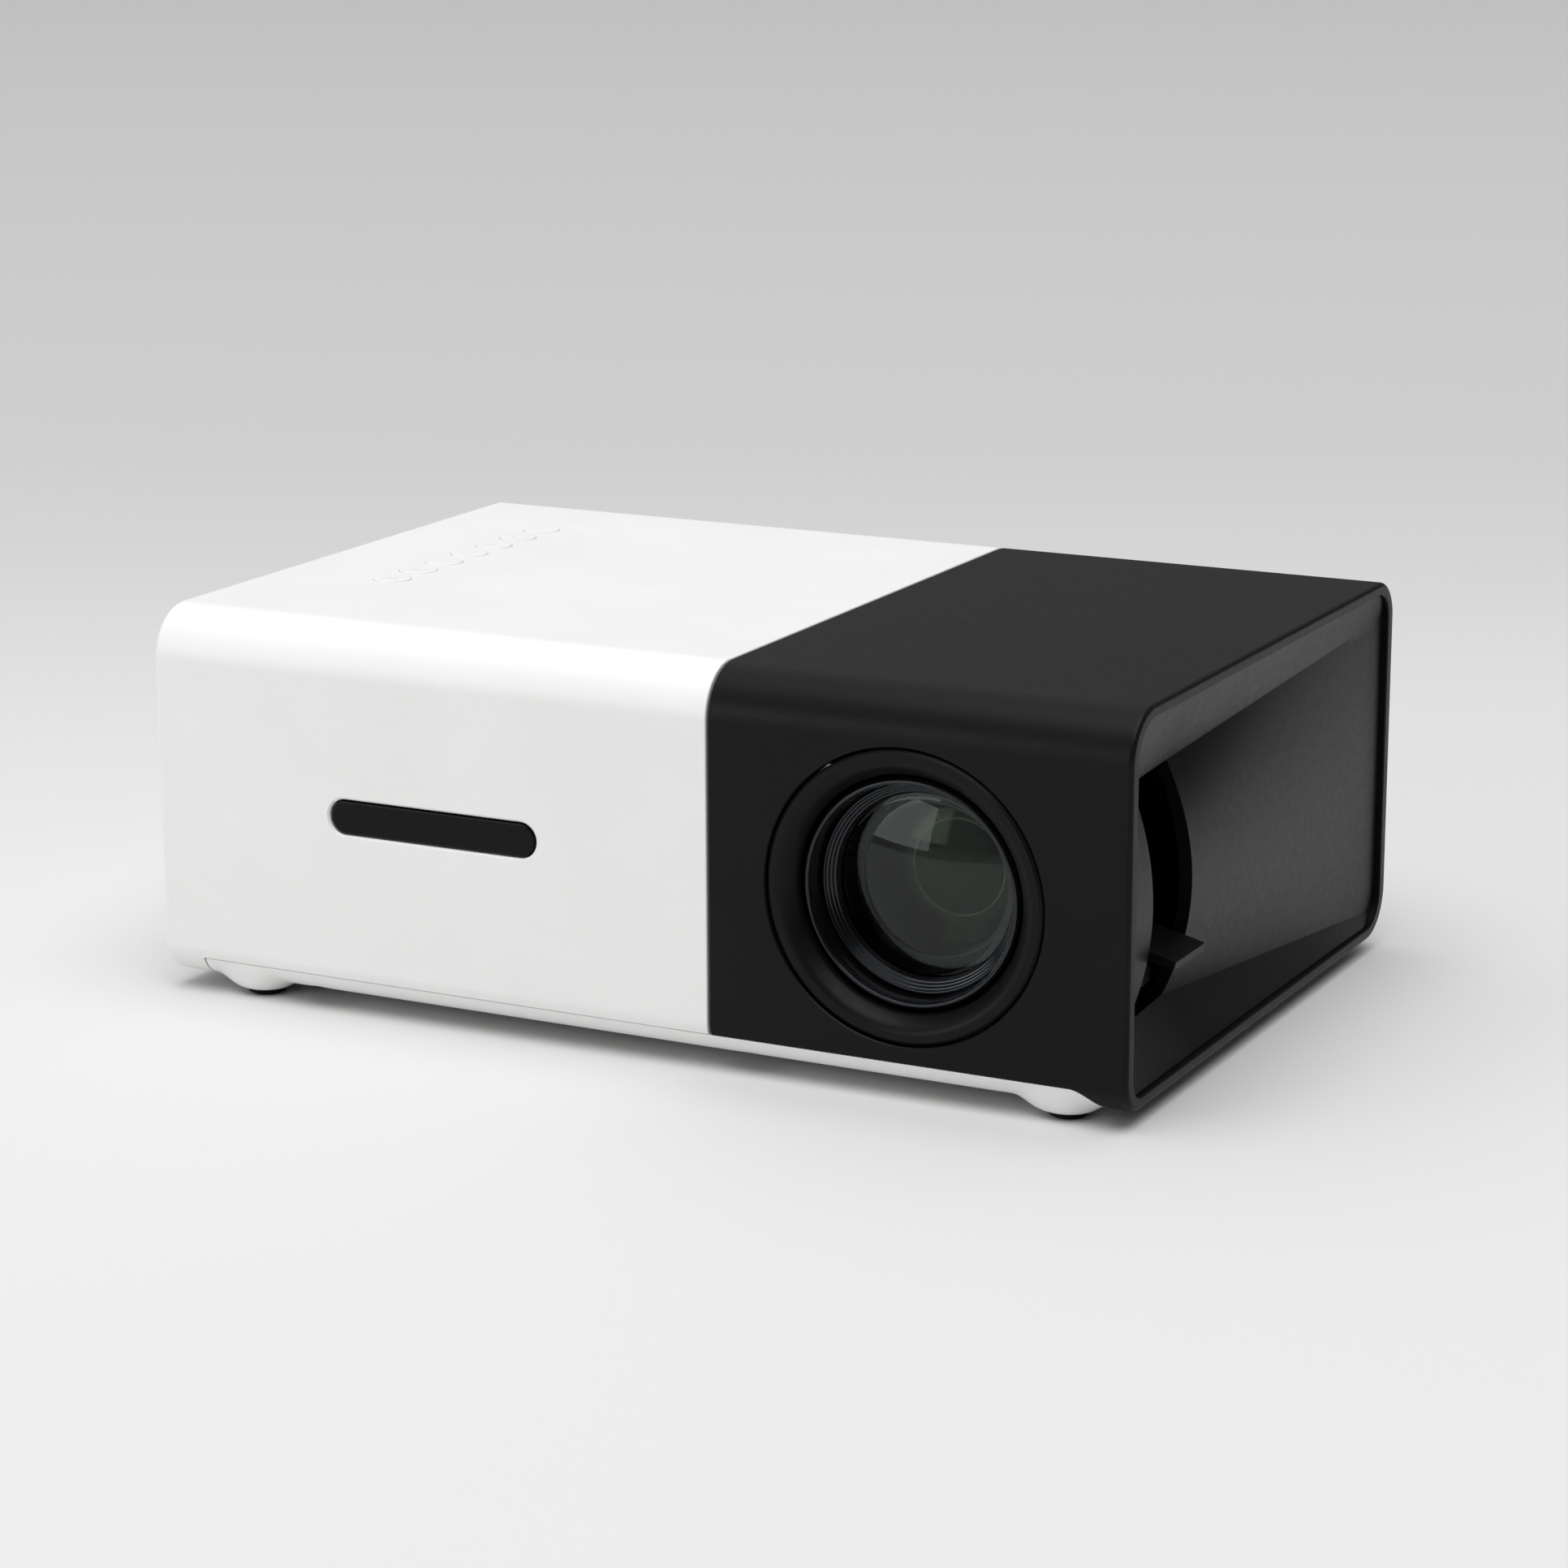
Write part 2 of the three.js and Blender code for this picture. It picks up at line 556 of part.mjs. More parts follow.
function mainBoard() {
  const drawn = polygon([[-59.6, -34], [2, -34], [2, 40.2], [-47.5, 40.2], [-47.5, -6], [-59.6, -6]]);
  return prism(drawn, 'z', BOARD_Z, BOARD_TOP).subtract(rod('z', 7.6, 0, 20, [...TRIPOD_SPOT, 0], 16));
}

// A socket shell open towards the rear, with a tongue standing in it.
function rearSocket(x0, x1, height, wall, tongue) {
  const z0 = BOARD_TOP + GAP;
  const shell = box(x0, x1, 29, 42.4, z0, z0 + height)
    .subtract(box(x0 + wall, x1 - wall, 31, 50, z0 + wall, z0 + height - wall));
  const middle = z0 + height / 2;
  return shell.add(box(x0 + 2.5, x1 - 2.5, 30, 41, middle - tongue / 2, middle + tongue / 2));
}

function cardSocket() {
  const z0 = BOARD_TOP + GAP;
  return box(-11, 1, 27, 42.4, z0, z0 + 2.1).subtract(box(-10.4, 0.4, 29, 50, z0 + 0.5, z0 + 1.6));
}

// A jack with a round nose through the end wall and a blind bore.
function endJack({ y, z }, half, nose, bore) {
  const body = box(LEFT_END + 3.5, -49, y - half, y + half, BOARD_TOP + GAP, z + half);
  const collar = rod('x', nose, LEFT_END + 0.4, LEFT_END + 4, [0, y, z]);
  return joined([body, collar]).subtract(rod('x', bore, -CLEAR, -51, [0, y, z], 12));
}

function powerJack() {
  const pin = rod('x', 1, LEFT_END + 1.5, -50, [0, JACKS.power.y, JACKS.power.z], 10);
  return endJack(JACKS.power, 4.7, 4.2, 2.8).add(pin);
}

function keyCap(index) {
  const at = [KEY_X, keyY(index), 0];
  const top = TOP_Z + KEY_PROUD;
  const flange = KEY_RADIUS + 0.55;
  const profile = [
    [0, 44.2], [flange, 44.2], [flange, 45.3], [KEY_RADIUS, 45.3], [KEY_RADIUS, top - 0.3],
    [KEY_RADIUS - 0.3, top], [0, top],
  ];
  return turned(profile, 'z', at, 14);
}

function keyBoard() {
  const last = keyY(KEY_NAMES.length - 1);
  const sheet = box(KEY_X - 3.6, KEY_X + 3.6, KEY_FIRST_Y - 5, last + 5, 40.8, 42);
  const switches = KEY_NAMES.map((unused, i) => {
    const y = keyY(i);
    return box(KEY_X - 1.7, KEY_X + 1.7, y - 1.7, y + 1.7, 41.9, 44.2 - KEY_TRAVEL - 0.2);
  });
  return joined([sheet, ...switches]);
}

function irWindow() {
  const { x0, x1, z, radius } = WINDOW;
  const face = prism(pill(x0, x1, z, radius), 'y', -42.9, -40.2);
  return face.add(prism(pill(x0 - 1, x1 + 1, z, radius + 1), 'y', -40.7, -39.8));
}

function irReceiver() {
  const body = box(-28.5, -23.5, -38.2, -33.2, 21.8, 28.4);
  const legs = [-27.6, -26, -24.4].map((x) => box(x - 0.3, x + 0.3, -33.9, -33.3, BOARD_TOP + GAP, 22));
  return joined([body, ...legs]);
}

function speaker() {
  const profile = [
    [0, 8.6], [5.5, 8.6], [5.5, 6], [8, 5.8], [11.5, 3.4], [11.5, 2.4], [10, 2.4], [3.4, 4.8], [0, 4.1],
  ];
  return turned(profile, 'x', [LEFT_END, SPEAKER.y, SPEAKER.z], 20);
}

function fanFrame() {
  const { x0, x1, y, z, half, bore } = FAN;
  const at = [0, y, z];
  const shell = box(x0, x1, y - half, y + half, z - half, z + half)
    .subtract(rod('x', bore, x0 - 1, x1 + 1, at, 28));
  const spokes = [0, 1, 2].map((i) => {
    const spoke = new THREE.BoxGeometry(1, 2 * bore + 1, 2).rotateX((i * Math.PI) / 3);
    return toSolid(spoke.translate(x0 + 0.5, y, z));
  });
  const hub = [rod('x', 7, x0, x0 + 1, at), rod('x', 1.2, x0, x1 - 1.5, at, 10)];
  const holes = FAN_SCREW_SPOTS.map(([dy, dz]) => (
    rod('x', 1.4, x0 - 1, x1 + 1, [0, y + dy, z + dz], 10)
  ));
  return without(joined([shell, ...spokes, ...hub]), holes);
}

function fanRotor() {
  const { x0, x1, y, z } = FAN;
  const blades = Array.from({ length: 7 }, (unused, i) => {
    const blade = new THREE.BoxGeometry(0.9, 6.2, 10.4).rotateZ(0.75).translate(0, 0, 12.2);
    return toSolid(blade.rotateX((i * 2 * Math.PI) / 7).translate((x0 + x1) / 2 + 0.6, y, z));
  });
  const hub = rod('x', 7.2, x0 + 1.4, x1 - 0.3, [0, y, z], 18);
  return joined([hub, ...blades]).subtract(rod('x', 1.6, x0 - 1, x1 - 1.1, [0, y, z], 12));
}

// A pan-head screw: head below or in front, plain shank beyond it.
function screw(axis, at, head, tip, headRadius = 2.5) {
  const neck = head + Math.sign(tip - head) * 0.9;
  const profile = [[0, head], [headRadius, head], [headRadius, neck], [1.1, neck], [1.1, tip], [0, tip]];
  return turned(profile, axis, at, 10);
}

// Flat flexible cable from the main board's edge up over the light box to the liquid-crystal panel.
function ribbon() {
  const { x, front, rear, z, thickness } = RIBBON;
  const low = BOARD_TOP + GAP;
  const end = BOX.left + 6;
  const drawn = polygon([
    [x, low], [x + thickness, low], [x + thickness, z], [end, z], [end, z + thickness], [x, z + thickness],
  ]);
  return prism(drawn, 'y', front, rear);
}

place('white_shell', whiteShell(), FINISH.white);
place('base_plate', basePlate(), FINISH.white);
place('lens_housing', lensHousing(), FINISH.black);
place('side_panel', sidePanel(), FINISH.black);
place('lens_trim_ring', trimRing(), FINISH.black);
place('ir_window', irWindow(), FINISH.gloss);
KEY_NAMES.forEach((name, i) => place(`key_${name}`, keyCap(i), FINISH.white));
Object.entries(FOOT_SPOTS).forEach(([name, [x, y]]) => {
  place(`foot_pad_${name}`, rod('z', PAD_RADIUS, 0, PAD_HEIGHT, [x, y, 0], 18), FINISH.rubber);
});
place('tripod_insert', tripodInsert(), FINISH.brass);

place('lens_barrel', lensBarrel(), FINISH.innerBlack);
place('front_lens_element', frontElement(), FINISH.glass);
place('middle_lens_element', element(8.6, -31.6, -29.6, 1.6, 1.2), FINISH.glass);
place('rear_lens_element', element(10.2, -17.4, -15, 0, 2), FINISH.glass);
place('lens_retaining_ring', retainingRing(), FINISH.innerBlack);
place('focus_cam_pin', camPin(), FINISH.steel);
place('focus_ring', focusRing(), FINISH.black);
place('lens_holder', lensHolder(), FINISH.innerBlack);

place('light_box', lightBox(), FINISH.innerBlack);
place('light_box_lid', lightBoxLid(), FINISH.innerBlack);
place('lcd_panel', box(17.3, 52, -4.9, -3.1, 7.8, 40.2), FINISH.gloss);
place('fresnel_lens', box(17.3, 52, -2.7, -1.2, 7.8, 40.2), FINISH.glass);
place('fold_mirror', foldMirror(), FINISH.mirror);
place('heat_glass', box(12.9, 14.9, LIGHT_Y - 14, LIGHT_Y + 14, 9, 39), FINISH.glass);
place('condenser_lens', condenserLens(), FINISH.glass);
place('condenser_mount', condenserMount(), FINISH.innerBlack);
place('led_emitter', ledEmitter(), FINISH.led);
place('led_board', box(-15.7, -14.2, LIGHT_Y - 11, LIGHT_Y + 11, LENS_Z - 8, LENS_Z + 13), FINISH.aluminium);
place('heat_sink', heatSink(), FINISH.aluminium);

place('main_board', mainBoard(), FINISH.board);
place('hdmi_socket', rearSocket(-45, -30, 5.9, 0.6, 1.2), FINISH.steel);
place('usb_socket', rearSocket(-27, -13.8, 7, 0.6, 1.9), FINISH.steel);
place('card_socket', cardSocket(), FINISH.steel);
place('power_jack', powerJack(), FINISH.innerBlack);
place('av_jack', endJack(JACKS.av, 3, 2.7, 1.8), FINISH.innerBlack);
place('headphone_jack', endJack(JACKS.headphone, 2.9, 2.7, 1.8), FINISH.innerBlack);
place('key_board', keyBoard(), FINISH.board);
place('ir_receiver', irReceiver(), FINISH.gloss);
place('lcd_ribbon', ribbon(), FINISH.ribbon);
place('speaker', speaker(), FINISH.cone);
place('fan_frame', fanFrame(), FINISH.innerBlack);
place('fan_rotor', fanRotor(), FINISH.innerBlack);

Object.entries(SCREW_SPOTS).forEach(([name, [x, y]]) => {
  place(`screw_${name}`, screw('z', [x, y, 0], FLOOR_Z + 0.2, 10), FINISH.steel);
});
HOLDER_SCREW_SPOTS.forEach(([x, z], i) => {
  place(`screw_lens_holder_${i + 1}`, screw('y', [x, 0, z], -11.8, BOX.front + 2, 2.1), FINISH.steel);
});
FAN_SCREW_SPOTS.forEach(([dy, dz], i) => {
  const at = [0, FAN.y + dy, FAN.z + dz];
  place(`screw_fan_${i + 1}`, screw('x', at, FAN.x1 + 1.2, FAN.x0 + 0.4, 2.2), FINISH.steel);
});

export default assembly;
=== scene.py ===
"""Looks for the home projector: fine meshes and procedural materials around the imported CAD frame."""

import json
import math

import bmesh
import bpy
from mathutils import Matrix, Vector


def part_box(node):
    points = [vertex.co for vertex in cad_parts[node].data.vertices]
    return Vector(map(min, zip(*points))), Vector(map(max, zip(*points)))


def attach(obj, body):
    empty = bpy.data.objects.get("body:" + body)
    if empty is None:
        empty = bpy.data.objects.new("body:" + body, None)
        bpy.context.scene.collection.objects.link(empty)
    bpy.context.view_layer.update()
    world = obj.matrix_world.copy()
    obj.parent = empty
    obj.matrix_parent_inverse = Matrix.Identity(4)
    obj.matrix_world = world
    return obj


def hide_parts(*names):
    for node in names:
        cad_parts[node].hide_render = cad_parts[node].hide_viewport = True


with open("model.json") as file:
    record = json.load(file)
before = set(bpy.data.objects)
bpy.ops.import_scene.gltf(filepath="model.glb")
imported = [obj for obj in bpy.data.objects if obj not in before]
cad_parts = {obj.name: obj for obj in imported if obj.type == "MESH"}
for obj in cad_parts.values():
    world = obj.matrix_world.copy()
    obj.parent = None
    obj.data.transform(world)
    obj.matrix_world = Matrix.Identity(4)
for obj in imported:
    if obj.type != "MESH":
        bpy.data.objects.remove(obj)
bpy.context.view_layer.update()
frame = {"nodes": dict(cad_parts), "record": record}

MM = 0.001
CASE = "case"

# ---- Places, in millimetres, taken from the frame ----


def box_mm(node):
    low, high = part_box(node)
    return [v / MM for v in low], [v / MM for v in high]


SHELL_LOW, SHELL_HIGH = box_mm("white_shell")
HOUSING_LOW, HOUSING_HIGH = box_mm("lens_housing")
BASE_LOW = box_mm("base_plate")[0]
TRIM_LOW, TRIM_HIGH = box_mm("lens_trim_ring")
WINDOW_LOW, WINDOW_HIGH = box_mm("ir_window")
RING_LOW, RING_HIGH = box_mm("focus_ring")
BARREL_LOW, BARREL_HIGH = box_mm("lens_barrel")
Y0, Y1 = SHELL_LOW[1], SHELL_HIGH[1]
FLOOR_Z, TOP_Z = SHELL_LOW[2], HOUSING_HIGH[2]
LENS_X = (TRIM_LOW[0] + TRIM_HIGH[0]) / 2
LENS_Z = (TRIM_LOW[2] + TRIM_HIGH[2]) / 2
LENS_AT = (LENS_X, 0, LENS_Z)

# ---- Design constants of the mouldings, in millimetres ----

CORNERS = {"bottomRear": 6.0, "topRear": 5.0, "topFront": 6.2, "bottomFront": 4.0}
WALL = 2.0
RIM = 1.5
RIM_DEPTH = 1.9
GAP = 0.3
END_ROUND = 0.8
SEAM_Z = 4.6
BASE_EDGE = SEAM_Z - 0.07
BASE_SHOULDER = 57.2
BASE_TIP = 59.7
SWELL_Z = 0.85
SWELL_REACH = (2.7, 5.2)
SWELL_STRETCH = 1.25
LEDGE_X = 56.2
SLOT = (-34.0, -21.6, 13.9)
PANEL_FACE = 63.1
PANEL_THICKNESS = 1.6
PANEL_GAP = 0.12
LEVER_ANGLE = math.radians(-14.5)
LEVER_REACH = 29.2
KEY_RADIUS = 2.4
KEY_GAP = 0.06
SOCKET_GAP = 0.35
CUT_DEPTH = 4


# ---- Mesh making ----


def make(name, verts, faces, at=(0, 0, 0)):
    """A mesh object from millimetre points."""
    mesh = bpy.data.meshes.new(name)
    shifted = [((x + at[0]) * MM, (y + at[1]) * MM, (z + at[2]) * MM) for x, y, z in verts]
    mesh.from_pydata(shifted, [], faces)
    tidy = bmesh.new()
    tidy.from_mesh(mesh)
    bmesh.ops.remove_doubles(tidy, verts=tidy.verts, dist=1e-7)
    bmesh.ops.recalc_face_normals(tidy, faces=tidy.faces)
    tidy.to_mesh(mesh)
    tidy.free()
    obj = bpy.data.objects.new(name, mesh)
    bpy.context.scene.collection.objects.link(obj)
    return obj


def loft(name, rings, closed=False, at=(0, 0, 0)):
    """Skins a run of equal rings. The ends are capped, or the last ring meets the first."""
    count = len(rings[0])
    verts = [p for ring in rings for p in ring]
    faces = []
    spans = len(rings) if closed else len(rings) - 1
    for i in range(spans):
        a, b = i * count, ((i + 1) % len(rings)) * count
        faces += [(a + j, a + (j + 1) % count, b + (j + 1) % count, b + j) for j in range(count)]
    if not closed:
        faces.append(tuple(range(count)))
        faces.append(tuple((len(rings) - 1) * count + j for j in range(count)))
    return make(name, verts, faces, at)


def soften(points, radius, closed, steps=3):
    """Rounds each corner of a flat outline with a small curve."""
    out = []
    for i, point in enumerate(points):
        if not closed and i in (0, len(points) - 1):
            out.append(point)
            continue
        here = Vector(point)
        before = Vector(points[i - 1]) - here
        after = Vector(points[(i + 1) % len(points)]) - here
        reach = min(radius, before.length * 0.45, after.length * 0.45)
        start, end = here + before.normalized() * reach, here + after.normalized() * reach
        for k in range(steps + 1):
            t = k / steps
            curve = start * (1 - t) ** 2 + here * 2 * t * (1 - t) + end * t * t
            out.append(tuple(curve))
    return out


def axis_point(axis, radius, along, angle):
    c, s = radius * math.cos(angle), radius * math.sin(angle)
    return {"x": (along, c, s), "y": (c, along, s), "z": (c, s, along)}[axis]


def turned(name, profile, axis, at, segments=96, soft=0.0):
    """Revolves [radius, distance] points about an axis; a profile off the axis is a closed ring."""
    ring = all(radius > 1e-6 for radius, along in profile)
    points = soften(profile, soft, ring) if soft else profile
    verts, faces, rows = [], [], []
    for radius, along in points:
        if radius < 1e-6:
            rows.append([len(verts)] * segments)
            verts.append(axis_point(axis, 0, along, 0))
            continue
        rows.append(list(range(len(verts), len(verts) + segments)))
        verts += [axis_point(axis, radius, along, 2 * math.pi * k / segments) for k in range(segments)]
    spans = len(rows) if ring else len(rows) - 1
    for i in range(spans):
        low, high = rows[i], rows[(i + 1) % len(rows)]
        for k in range(segments):
            n = (k + 1) % segments
            corners = []
            for index in (low[k], low[n], high[n], high[k]):
                if index not in corners:
                    corners.append(index)
            if len(corners) > 2:
                faces.append(tuple(corners))
    return make(name, verts, faces, at)


def flat_ring(axis, outline, along):
    """A flat outline's points in space, at a distance along an axis."""
    order = {
        "x": lambda u, v: (along, u, v),
        "y": lambda u, v: (u, along, v),
        "z": lambda u, v: (u, v, along),
    }
    return [order[axis](u, v) for u, v in outline]


def stack(name, axis, layers, at=(0, 0, 0)):
    """A capped solid from (distance, outline) layers along an axis."""
    return loft(name, [flat_ring(axis, outline, along) for along, outline in layers], at=at)


def through(axis, low, high, outline):
    """A straight cutter of one outline between two distances along an axis."""
    return stack("cutter", axis, [(low, outline), (high, outline)])


def round_rect(u0, u1, v0, v1, radius, steps=6):
    right, left = u1 - radius, u0 + radius
    low, high = v0 + radius, v1 - radius
    centres = [(right, low), (right, high), (left, high), (left, low)]
    out = []
    for k, (u, v) in enumerate(centres):
        for s in range(steps + 1):
            a = math.pi / 2 * (k - 1 + s / steps)
            out.append((u + radius * math.cos(a), v + radius * math.sin(a)))
    return out


def block(name, axis, low, high, outline_at, edge=0.0):
    """A prism between two distances whose ends are chamfered by `edge`; outline_at(inset) draws it."""
    start, end = (low, outline_at(edge)), (high, outline_at(edge))
    middle = [(low + edge, outline_at(0)), (high - edge, outline_at(0))] if edge else []
    return stack(name, axis, [start, *middle, end])


def cuboid(name, x0, x1, y0, y1, z0, z1, edge=0.15, corner=0.3):
    """A box with rounded upright corners and chamfered ends."""

    def outline_at(inset):
        radius = max(corner - inset, 0.02)
        return round_rect(x0 + inset, x1 - inset, y0 + inset, y1 - inset, radius, 3)

    return block(name, "z", z0, z1, outline_at, edge)


def disc(name, axis, radius, low, high, at, segments=48):
    return turned(name, [(0, low), (radius, low), (radius, high), (0, high)], axis, at, segments)


def boolean(obj, other, operation, solver="EXACT"):
    modifier = obj.modifiers.new("cut", "BOOLEAN")
    modifier.operation = operation
    modifier.solver = solver
    modifier.object = other
    bake(obj)
    bpy.data.objects.remove(other)
    return obj


def bake(obj):
    """Applies the modifiers into the mesh."""
    bpy.context.view_layer.update()
    graph = bpy.context.evaluated_depsgraph_get()
    mesh = bpy.data.meshes.new_from_object(obj.evaluated_get(graph))
    obj.modifiers.clear()
    obj.data = mesh


def merge(objects):
    """Puts several meshes into the first one, without joining their faces."""
    target = objects[0]
    combined = bmesh.new()
    for obj in objects:
        combined.from_mesh(obj.data)
    combined.to_mesh(target.data)
    combined.free()
    for obj in objects[1:]:
        bpy.data.objects.remove(obj)
    return target


def cut(obj, cutters):
    return boolean(obj, merge(cutters), "DIFFERENCE")


def bevelled(obj, width, angle=50, segments=2):
    modifier = obj.modifiers.new("edges", "BEVEL")
    modifier.width = width * MM
    modifier.segments = segments
    modifier.limit_method = "ANGLE"
    modifier.angle_limit = math.radians(angle)
    modifier.use_clamp_overlap = True
    bake(obj)
    return obj


def dress(obj, material, nodes=(), body=CASE, sharp=35):
    """Smooth shading, material, body, slot and the CAD nodes that the piece stands for."""
    mesh = obj.data
    mesh.materials.clear()
    mesh.materials.append(material)
    for polygon in mesh.polygons:
        polygon.material_index = 0
    mesh.shade_smooth()
    mesh.set_sharp_from_angle(angle=math.radians(sharp))
    weighted = obj.modifiers.new("normals", "WEIGHTED_NORMAL")
    weighted.keep_sharp = True
    weighted.weight = 80
    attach(obj, body)
    if nodes:
        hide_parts(*nodes)
    return obj


# ---- Materials ----


def node_material(name):
    material = bpy.data.materials.new(name)
    material.use_nodes = True
    tree = material.node_tree
    return material, tree, tree.nodes["Principled BSDF"]


def add_grain(tree, shader, scale, strength, depth, detail=2.0):
    """Fine moulded grain in the object's own space."""
    place = tree.nodes.new("ShaderNodeTexCoord")
    noise = tree.nodes.new("ShaderNodeTexNoise")
    noise.inputs["Scale"].default_value = scale
    noise.inputs["Detail"].default_value = detail
    bump = tree.nodes.new("ShaderNodeBump")
    bump.inputs["Strength"].default_value = strength
    bump.inputs["Distance"].default_value = depth
    tree.links.new(place.outputs["Object"], noise.inputs["Vector"])
    tree.links.new(noise.outputs["Fac"], bump.inputs["Height"])
    tree.links.new(bump.outputs["Normal"], shader.inputs["Normal"])
    return place


def add_variation(tree, shader, place, socket, low, high, scale):
    """Slow drift of a colour or of the roughness over the surface."""
    noise = tree.nodes.new("ShaderNodeTexNoise")
    noise.inputs["Scale"].default_value = scale
    noise.inputs["Detail"].default_value = 3.0
    ramp = tree.nodes.new("ShaderNodeValToRGB")
    ramp.color_ramp.elements[0].position = 0.3
    ramp.color_ramp.elements[1].position = 0.7
    ramp.color_ramp.elements[0].color = (*low, 1) if isinstance(low, tuple) else (low, low, low, 1)
    ramp.color_ramp.elements[1].color = (*high, 1) if isinstance(high, tuple) else (high, high, high, 1)
    tree.links.new(place.outputs["Object"], noise.inputs["Vector"])
    tree.links.new(noise.outputs["Fac"], ramp.inputs["Fac"])
    tree.links.new(ramp.outputs["Color"], shader.inputs[socket])


def plastic(name, dark, light, rough, grain=2600, strength=0.12, specular=0.5, tint=(1, 1, 1)):
    """A moulded plastic or rubber whose colour drifts between two near shades."""
    material, tree, shader = node_material(name)
    shader.inputs["Specular IOR Level"].default_value = specular
    shader.inputs["Specular Tint"].default_value = (*tint, 1)
    place = add_grain(tree, shader, grain, strength, 0.00004)
    add_variation(tree, shader, place, "Base Color", dark, light, 60)
    add_variation(tree, shader, place, "Roughness", rough - 0.03, rough + 0.03, 900)
    return material


def metal(name, dark, light, rough, grain=1800, strength=0.1):
    """A metal whose colour drifts between two near shades."""
    material, tree, shader = node_material(name)
    shader.inputs["Metallic"].default_value = 1.0
    place = add_grain(tree, shader, grain, strength, 0.00003)
    add_variation(tree, shader, place, "Base Color", dark, light, 120)
    add_variation(tree, shader, place, "Roughness", rough - 0.05, rough + 0.05, 500)
    return material


def coated_glass(name, tint, mirror_tint, ior, roughness=0.015):
    """Thin coated glass: clear inside, with a tinted reflection that grows towards the edge."""
    material, tree, shader = node_material(name)
    tree.nodes.remove(shader)
    output = tree.nodes["Material Output"]
    clear = tree.nodes.new("ShaderNodeBsdfTransparent")
    clear.inputs["Color"].default_value = (*tint, 1)
    gloss = tree.nodes.new("ShaderNodeBsdfAnisotropic")
    gloss.inputs["Roughness"].default_value = roughness
    place = tree.nodes.new("ShaderNodeTexCoord")
    noise = tree.nodes.new("ShaderNodeTexNoise")
    noise.inputs["Scale"].default_value = 90
    ramp = tree.nodes.new("ShaderNodeValToRGB")
    ramp.color_ramp.elements[0].color = (*mirror_tint, 1)
    ramp.color_ramp.elements[1].color = (*[min(1, c * 1.12) for c in mirror_tint], 1)
    tree.links.new(place.outputs["Object"], noise.inputs["Vector"])
    tree.links.new(noise.outputs["Fac"], ramp.inputs["Fac"])
    tree.links.new(ramp.outputs["Color"], gloss.inputs["Color"])
    fresnel = tree.nodes.new("ShaderNodeFresnel")
    fresnel.inputs["IOR"].default_value = ior
    mix = tree.nodes.new("ShaderNodeMixShader")
    tree.links.new(fresnel.outputs["Fac"], mix.inputs["Fac"])
    tree.links.new(clear.outputs[0], mix.inputs[1])
    tree.links.new(gloss.outputs[0], mix.inputs[2])
    tree.links.new(mix.outputs[0], output.inputs["Surface"])
    return material


def board_material():
    """Green solder mask with lighter copper lanes under it."""
    material, tree, shader = node_material("circuit_board")
    shader.inputs["Roughness"].default_value = 0.35
    place = tree.nodes.new("ShaderNodeTexCoord")
    brick = tree.nodes.new("ShaderNodeTexBrick")
    brick.inputs["Scale"].default_value = 160
    brick.inputs["Color1"].default_value = (0.012, 0.09, 0.04, 1)
    brick.inputs["Color2"].default_value = (0.015, 0.11, 0.05, 1)
    brick.inputs["Mortar"].default_value = (0.03, 0.18, 0.08, 1)
    tree.links.new(place.outputs["Object"], brick.inputs["Vector"])
    tree.links.new(brick.outputs["Color"], shader.inputs["Base Color"])
    return material


WHITE = plastic("white_plastic", (0.83, 0.832, 0.825), (0.86, 0.862, 0.855), 0.42, strength=0.06)
BLACK = plastic("black_plastic", (0.0034, 0.0034, 0.0036), (0.0044, 0.0044, 0.0046), 0.38, specular=0.13)
INNER = plastic("inner_black_plastic", (0.002, 0.002, 0.0021), (0.003, 0.003, 0.0031), 0.42, specular=0.1)
GLOSS = plastic(
    "gloss_black", (0.004, 0.004, 0.0045), (0.005, 0.005, 0.0055), 0.16, strength=0.02, specular=0.12
)
RUBBER = plastic("foot_rubber", (0.005, 0.005, 0.005), (0.008, 0.008, 0.008), 0.8, grain=1500, specular=0.1)
PANEL = plastic("panel_plastic", (0.0036, 0.0036, 0.0038), (0.0046, 0.0046, 0.0048), 0.36, specular=0.15)
RINGS = plastic(
    "barrel_plastic", (0.003, 0.003, 0.0034), (0.0042, 0.0042, 0.0048), 0.17,
    strength=0.03, specular=0.42, tint=(0.84, 0.92, 1.0),
)
STEEL = metal("plated_steel", (0.48, 0.49, 0.5), (0.58, 0.59, 0.6), 0.32)
BRASS = metal("brass", (0.55, 0.38, 0.14), (0.66, 0.47, 0.2), 0.3)
ALUMINIUM = metal("aluminium", (0.6, 0.61, 0.62), (0.7, 0.71, 0.72), 0.4)
MIRROR = metal("mirror_coat", (0.88, 0.89, 0.9), (0.92, 0.93, 0.94), 0.08, strength=0.0)
FRONT_GLASS = coated_glass("front_coated_glass", (0.9, 0.92, 0.9), (0.92, 0.95, 1.0), 1.28)
INNER_GLASS = coated_glass("inner_coated_glass", (0.5, 0.55, 0.48), (0.5, 0.62, 0.42), 1.3)
OPTIC = coated_glass("optical_glass", (0.85, 0.9, 0.92), (0.9, 0.95, 1.0), 1.4)
LED = plastic("led_phosphor", (0.7, 0.55, 0.14), (0.8, 0.62, 0.18), 0.25)
FILM = plastic("ribbon_film", (0.4, 0.2, 0.05), (0.46, 0.24, 0.07), 0.35)
CONE = plastic("speaker_cone", (0.02, 0.02, 0.021), (0.03, 0.03, 0.031), 0.8, grain=900, strength=0.4)
BOARD = board_material()
